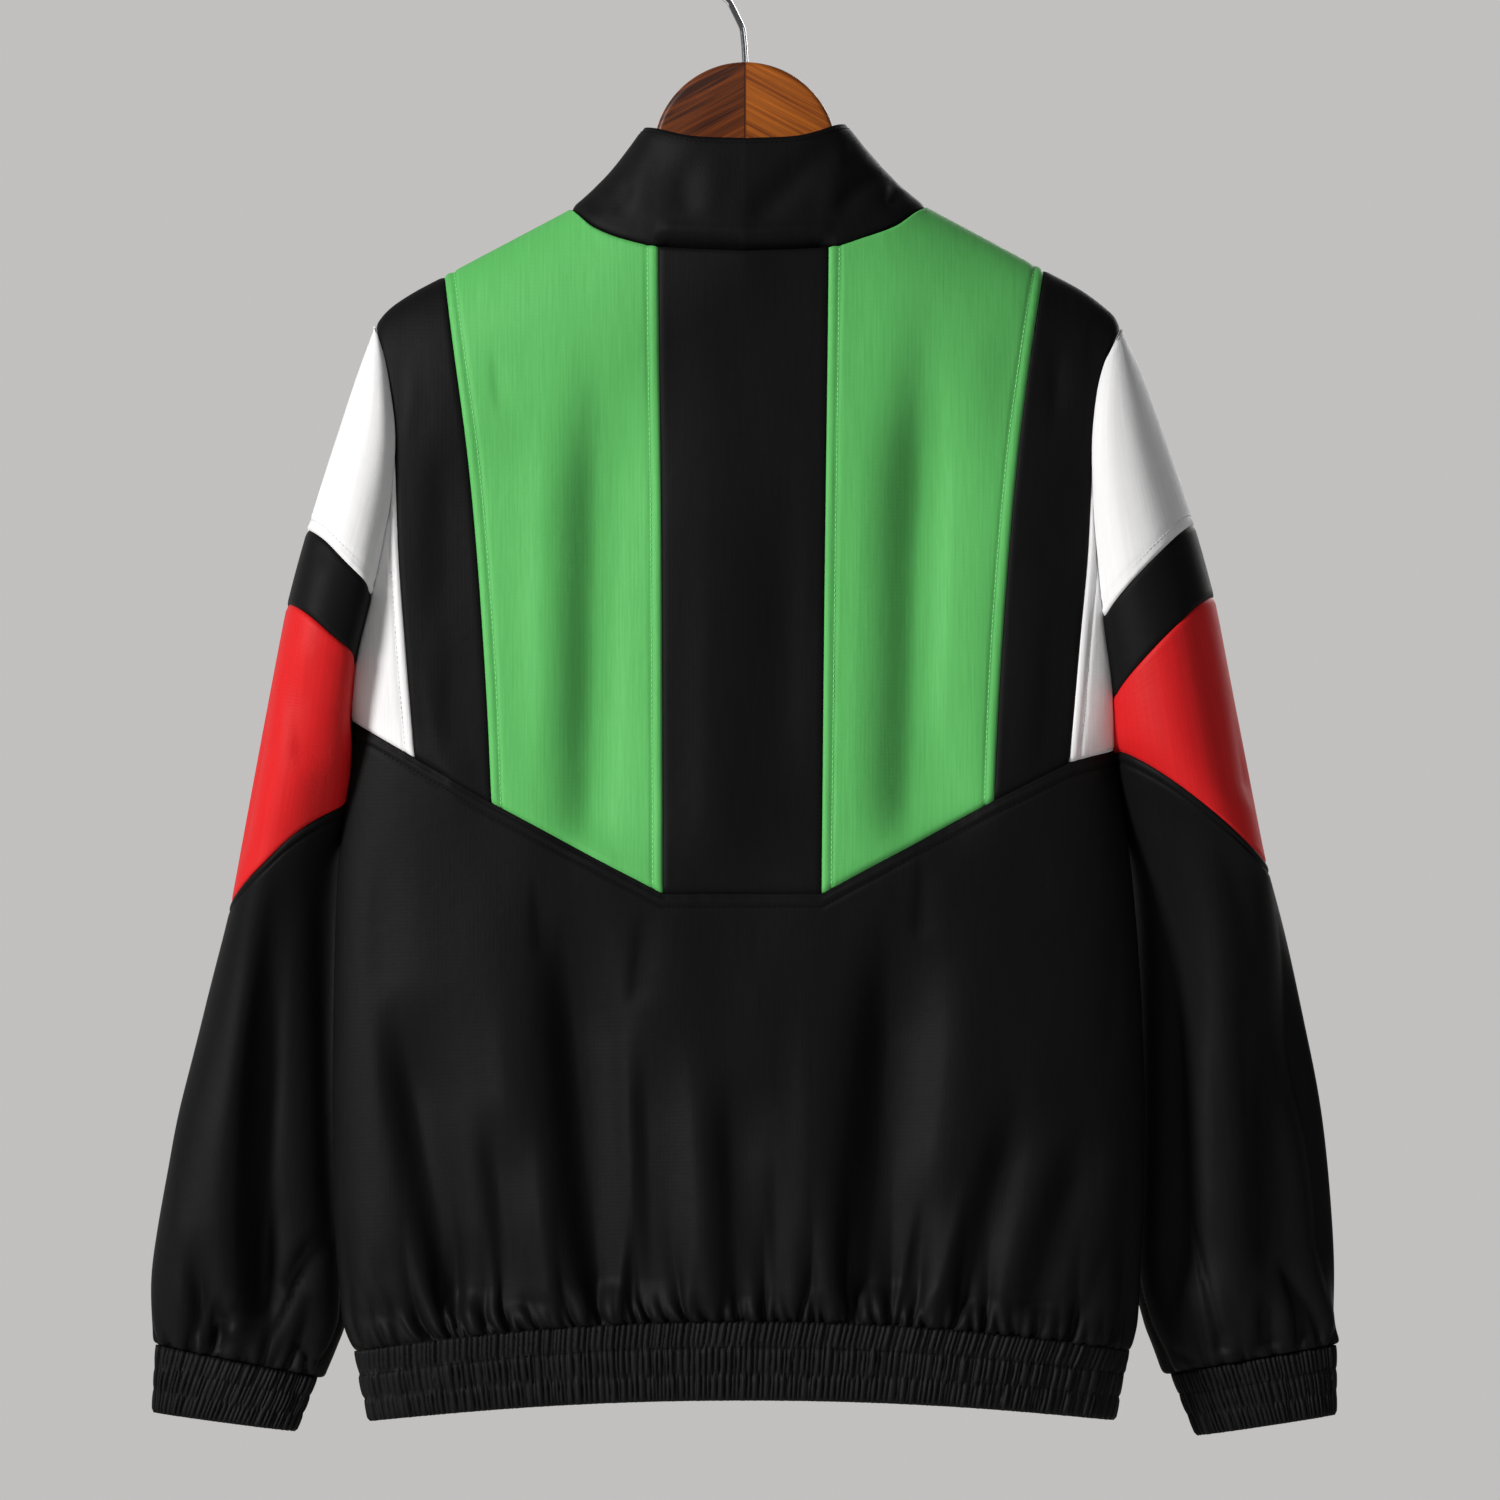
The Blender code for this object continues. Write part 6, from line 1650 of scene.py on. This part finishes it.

# %% [markdown]
# ## The hanger
# Two pieces of beech meet at a glued seam in the middle, cut so that their grain falls away from it like a
# roof. They are stained a reddish brown and varnished with a thin satin coat. Beech has long fine streaks
# and broader bands, so two noises are stretched along the grain and added. Both halves are the same stained
# beech, and one is painted darker than the other: painted shade and painted light, for how the light falls
# on grain that runs the other way.

# %% Stained and varnished beech
def varnished_beech(name, dark, light, tilt):
    """Beech under stain and satin varnish: fine streaks and broader bands along the grain."""
    made, tree, shader = start_material(name)
    place = add_node(tree, "ShaderNodeTexCoord").outputs["Object"]
    turned = add_node(
        tree, "ShaderNodeMapping", links={"Vector": place}, Rotation=(0.0, tilt, 0.0)
    ).outputs[0]
    long = add_node(tree, "ShaderNodeMapping", links={"Vector": turned}, Scale=(14.0, 60.0, 620.0)).outputs[0]
    streaks = noise(tree, long, 1.0, 6.0, Roughness=0.62, Distortion=0.4)
    wide = add_node(tree, "ShaderNodeMapping", links={"Vector": turned}, Scale=(8.0, 30.0, 130.0)).outputs[0]
    bands = noise(tree, wide, 1.0, 3.0)
    both = add_node(tree, "ShaderNodeMath", {"operation": "MULTIPLY_ADD"}, {0: streaks, 2: bands})
    both.inputs[1].default_value = 1.3
    share = add_node(
        tree, "ShaderNodeMapRange", links={"Value": both.outputs[0]}, From_Min=0.85, From_Max=1.45
    )
    # the glue line: both halves are darkest where they meet
    side = add_node(tree, "ShaderNodeSeparateXYZ", links={"Vector": place}).outputs["X"]
    apart = add_node(tree, "ShaderNodeMath", {"operation": "ABSOLUTE"}, {0: side}).outputs[0]
    clear = add_node(tree, "ShaderNodeMapRange", links={"Value": apart}, From_Min=0.0003, From_Max=0.0009)
    lit = add_node(
        tree, "ShaderNodeMath", {"operation": "MULTIPLY"}, {0: share.outputs[0], 1: clear.outputs[0]}
    )
    tone = add_node(tree, "ShaderNodeMix", {"data_type": "RGBA"}, {0: lit.outputs[0]})
    tone.inputs[6].default_value, tone.inputs[7].default_value = linear(dark), linear(light)
    tree.links.new(tone.outputs[2], shader.inputs["Base Color"])
    add_relief(tree, shader, streaks, 0.2, 0.0003)
    vary_roughness(tree, shader, streaks, 0.55, 0.42)
    shader.inputs["Specular IOR Level"].default_value = 0.25
    shader.inputs["Coat Weight"].default_value = 0.03
    shader.inputs["Coat Roughness"].default_value = 0.16
    return made


GRAIN = math.radians(28.0)  # how far the grain falls away from the seam
# The same stained beech twice: the left half's darker tones are painted shade, the right half's lighter tones
# painted light, for the light on their mirrored grain.
beech_left = varnished_beech("dark_stained_beech", "#2e0f02", "#7a390a", -GRAIN)
beech_right = varnished_beech("light_stained_beech", "#5a2503", "#a95b14", GRAIN)
print("wood:", beech_left.name, beech_right.name)

# %% [markdown]
# ## The hanger's outline
# Half of the outline is drawn from a few points: the arch behind the neck, the hollow beside it, the arm
# under the shoulder, its tip and the lower edge. Cutting each corner twice turns them into a smooth line.

# %% Draw the outline
ARCH_RADIUS = 55.0
ARCH_CENTRE_Z = -127.0


def hanger_outline(side):
    """Half of the hanger's outline in (x, z): the arch, the hollow, the arm, its tip and its lower edge."""
    turn = np.radians(np.linspace(90.0, 22.0, 45))
    arch = np.stack([ARCH_RADIUS * np.cos(turn), ARCH_CENTRE_Z + ARCH_RADIUS * np.sin(turn)], axis=-1)
    hollow = [(57.0, -124.0), (63.0, -138.0), (76.0, -153.0), (92.0, -165.0), (110.0, -173.5)]
    arm = [(x, float(curve(SHOULDER_LINE, x, side)) - 3.4) for x in (132.0, 150.0, 170.0, 188.0)]
    end = arm[-1][1]
    tip = [(198.0, end - 7.5), (203.0, end - 15.0), (201.0, end - 24.0), (193.0, end - 28.5)]
    lower = [(160.0, -222.5), (128.0, -207.5), (96.0, -192.0), (66.0, -175.0), (38.0, -157.0), (18.0, -148.0)]
    rest = [tuple(arch[-1])] + hollow + arm + tip + lower + [(0.0, -146.0)]
    for _ in range(2):  # cut the corners twice, which rounds a line without leaving it
        cut = [rest[0]]
        for one, two in zip(rest, rest[1:]):
            one, two = np.array(one), np.array(two)
            cut += [tuple(0.75 * one + 0.25 * two), tuple(0.25 * one + 0.75 * two)]
        rest = cut + [rest[-1]]
    arch[0] = (0.0, ARCH_CENTRE_Z + ARCH_RADIUS)
    outline = np.concatenate([arch, np.array(rest[2:])])
    return np.stack([sign(side) * outline[:, 0], outline[:, 1]], axis=-1)


print("hanger outline:", len(hanger_outline(LEFT)), "points on each half")

# %% [markdown]
# ## Thickness and rounded edges
# A filled circle takes the outline and is extruded to the wood's thickness. Its edges are bevelled in five
# steps, as a router rounds them. Only the seam between the halves stays sharp.

# %% Shape the hanger's halves
WOOD = 14.0


def hanger_half(side, word, look):
    outline = hanger_outline(side)
    deselect()
    bpy.ops.mesh.primitive_circle_add(vertices=len(outline), radius=0.05, fill_type="NGON")
    made = bpy.context.object
    made.name = f"hanger_{word}_wood"
    for vertex, (x, z) in zip(made.data.vertices, outline):
        vertex.co = (x * MM, -0.5 * WOOD * MM, z * MM)
    bpy.ops.object.mode_set(mode="EDIT")
    bpy.ops.mesh.select_all(action="SELECT")
    bpy.ops.mesh.extrude_region_move(TRANSFORM_OT_translate={"value": (0.0, WOOD * MM, 0.0)})
    bpy.ops.mesh.select_all(action="SELECT")
    bpy.ops.mesh.normals_make_consistent(inside=False)
    bpy.ops.mesh.select_mode(type="EDGE")  # first, so that the edges picked below stay the only ones selected
    points = made.data.vertices

    def outline_edge(edge):
        """An edge of either face that isn't on the seam."""
        one, two = (points[i].co for i in edge.vertices)
        flat = abs(one.y - two.y) < 1e-5
        return flat and max(abs(one.x), abs(two.x)) > 0.001

    pick(made, "edges", outline_edge)
    bpy.ops.mesh.bevel(offset=3.2 * MM, segments=5, profile=0.5)
    bpy.ops.object.mode_set(mode="OBJECT")
    made.data.materials.append(look)
    bpy.ops.object.shade_smooth_by_angle(angle=math.radians(35))
    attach(made, "jacket")
    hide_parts(f"hanger_{word}")
    return made


halves = [hanger_half(LEFT, "left", beech_left), hanger_half(RIGHT, "right", beech_right)]
print("hanger:", [len(half.data.polygons) for half in halves], "faces")

# %% [markdown]
# ## The wire hook
# The hook is one length of steel wire, bent and chromed: a straight stem out of the wood's seam and a bend
# that goes over the rail. A curve with a round bevel is the wire itself, and it is then turned into a mesh.

# %% Bend the wire
WIRE = 3.8
HOOK_RADIUS = 20.0


def chromed_steel(name):
    """Bright chrome over drawn wire: a near mirror with faint marks along the wire."""
    made, tree, shader = start_material(name)
    marks = noise(tree, add_node(tree, "ShaderNodeTexCoord").outputs["Object"], 600.0, 3.0)
    vary_roughness(tree, shader, marks, 0.08, 0.2)
    add_relief(tree, shader, marks, 0.08, 0.0001)
    shader.inputs["Base Color"].default_value = linear("#cfd1d4")
    shader.inputs["Metallic"].default_value = 1.0
    return made


def wire_hook(look):
    """A stem out of the wood and a bend whose inside touches the origin, where the rail holds it."""
    centre = -(HOOK_RADIUS - 0.5 * WIRE)
    foot = ARCH_CENTRE_Z + ARCH_RADIUS + 0.3
    points = [(0.0, foot), (0.6, foot + 10.0), (1.6, foot + 20.0)]
    turn = np.radians(np.linspace(-62.0, 196.0, 72))
    points += [(HOOK_RADIUS * math.cos(a), centre + HOOK_RADIUS * math.sin(a)) for a in turn]
    points = resample(points, 120)
    for _ in range(3):  # ease the joint of the stem and the bend
        points[1:-1] = 0.25 * points[:-2] + 0.5 * points[1:-1] + 0.25 * points[2:]
    deselect()
    bpy.ops.curve.primitive_nurbs_path_add()
    wire = bpy.context.object
    wire.name = "hanger_hook_wire"
    data = wire.data
    data.splines.clear()
    spline = data.splines.new("POLY")
    spline.points.add(len(points) - 1)
    for point, (x, z) in zip(spline.points, points):
        point.co = (x * MM, 0.0, z * MM, 1.0)
    data.bevel_depth, data.bevel_resolution, data.use_fill_caps = 0.5 * WIRE * MM, 5, True
    bpy.ops.object.convert(target="MESH")
    wire = bpy.context.object
    wire.data.materials.clear()
    wire.data.materials.append(look)
    bpy.ops.object.shade_smooth_by_angle(angle=math.radians(50))
    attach(wire, "jacket")
    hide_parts("hanger_hook")
    return wire


chrome = chromed_steel("chromed_steel_wire")
hook = wire_hook(chrome)
print("hook:", len(hook.data.polygons), "faces")

# %% [markdown]
# ## The slider
# The slider and its pull tab are small castings. Their CAD nodes already have the right shape, so they stay
# and take a finish: painted metal with a satin gloss.

# %% Finish the slider and its tab
painted_metal = smooth_finish("black_painted_zinc", "#101113", 0.26)
for name in ("zip_slider", "zip_pull"):
    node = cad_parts[name]
    node.data.materials.clear()
    node.data.materials.append(painted_metal)
print("slider and pull tab:", painted_metal.name)

# %% [markdown]
# ## Floor
# A plain floor of painted plaster lies below the garment. It is no part of the jacket.

# %% Floor
def plaster(name, colour):
    """Painted plaster: matt, with a slow unevenness."""
    made, tree, shader = start_material(name)
    cloudy = noise(tree, add_node(tree, "ShaderNodeTexCoord").outputs["Object"], 2.0, 4.0)
    vary_roughness(tree, shader, cloudy, 0.75, 0.95)
    shader.inputs["Base Color"].default_value = linear(colour)
    return made


deselect()
bpy.ops.mesh.primitive_circle_add(vertices=96, radius=2.4, fill_type="NGON", location=(0.0, 0.0, -1.3))
floor = bpy.context.object
floor.name = "floor"
bpy.ops.object.transform_apply(location=True)
floor.data.materials.append(plaster("pale_floor", "#dedcd9"))
print("floor:", round(floor.dimensions.x, 2), "m across")

# %% [markdown]
# ## Light
# The photograph has soft light from its left and a bright wall behind the garment. One strong lamp well to
# the left makes the folds show. A weak one opens the dark side, another over the camera keeps the blacks
# readable, and a fourth lights the front for the other views. The room is bright behind the garment and dim
# behind the camera.

# %% Lamps and room
def lamp(name, place, aim, size, power, colour=(1.0, 1.0, 1.0)):
    light = bpy.data.lights.new(name, "AREA")
    light.shape, light.size, light.energy, light.color = "DISK", size, power, colour
    made = bpy.data.objects.new(name, light)
    bpy.context.collection.objects.link(made)
    made.location = place
    made.rotation_euler = (Vector(aim) - Vector(place)).to_track_quat("-Z", "Y").to_euler()
    return made


scene = bpy.context.scene
scene.view_settings.view_transform = "Standard"
world = bpy.data.worlds.new("soft_room")
scene.world = world
world.use_nodes = True
background = world.node_tree.nodes["Background"]
background.inputs["Color"].default_value = linear("#e9e7e5")
look_way = add_node(world.node_tree, "ShaderNodeTexCoord").outputs["Generated"]  # the direction into the room
towards = add_node(world.node_tree, "ShaderNodeVectorMath", {"operation": "DOT_PRODUCT"}, {0: look_way})
towards.inputs[1].default_value = (0.1, -1.0, 0.0)
strength = add_node(
    world.node_tree, "ShaderNodeMapRange", {"interpolation_type": "SMOOTHSTEP"},
    {"Value": towards.outputs["Value"]}, From_Min=0.0, From_Max=0.75, To_Min=0.11, To_Max=0.66,
)
world.node_tree.links.new(strength.outputs[0], background.inputs["Strength"])
target = (0.0, 0.0, -0.45)
lamp("key", (4.7, 3.5, 1.4), target, 1.4, 490.0, (1.0, 0.985, 0.96))
lamp("fill", (-2.3, 1.9, 0.3), target, 1.2, 7.0, (0.96, 0.98, 1.0))
lamp("over the camera", (0.3, 3.6, 1.4), target, 1.0, 10.0)
lamp("front", (-1.2, -2.4, 0.6), target, 1.4, 36.0)
print("lamps:", [light.name for light in bpy.data.lights])

# %% [markdown]
# ## Camera
# The camera stands straight behind the garment at the photograph's framing. It is 9 m away with a long
# lens, so the shape stays flat, as in a catalogue photograph.

# %% Camera
camera_data = bpy.data.cameras.new("camera")
camera = bpy.data.objects.new("camera", camera_data)
bpy.context.collection.objects.link(camera)
DISTANCE = 9.0  # metres from the back's surface
BACK_Y = 0.04
FRAME_CENTRE = (-0.0029, -0.4834)  # x and z of the picture's middle
FRAME_WIDTH = 0.8935  # metres that the picture shows from side to side, at the back's surface
camera.location = (FRAME_CENTRE[0], BACK_Y + DISTANCE, FRAME_CENTRE[1])
camera.rotation_euler = (math.radians(90.0), 0.0, math.radians(180.0))
camera_data.sensor_width = 36.0
camera_data.lens = 36.0 * DISTANCE / FRAME_WIDTH
camera_data.clip_start, camera_data.clip_end = 0.05, 50.0
camera_data.dof.use_dof = False
scene.camera = camera
print("camera:", round(camera_data.lens), "mm lens at", DISTANCE, "m")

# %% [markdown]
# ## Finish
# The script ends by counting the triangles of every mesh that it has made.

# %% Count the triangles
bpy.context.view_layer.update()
triangles = {
    obj.name: sum(len(p.vertices) - 2 for p in obj.data.polygons)
    for obj in bpy.data.objects
    if obj.type == "MESH" and obj.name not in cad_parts
}
most = max(triangles, key=triangles.get)
print(sum(triangles.values()), "triangles in all; most in", most, triangles[most])
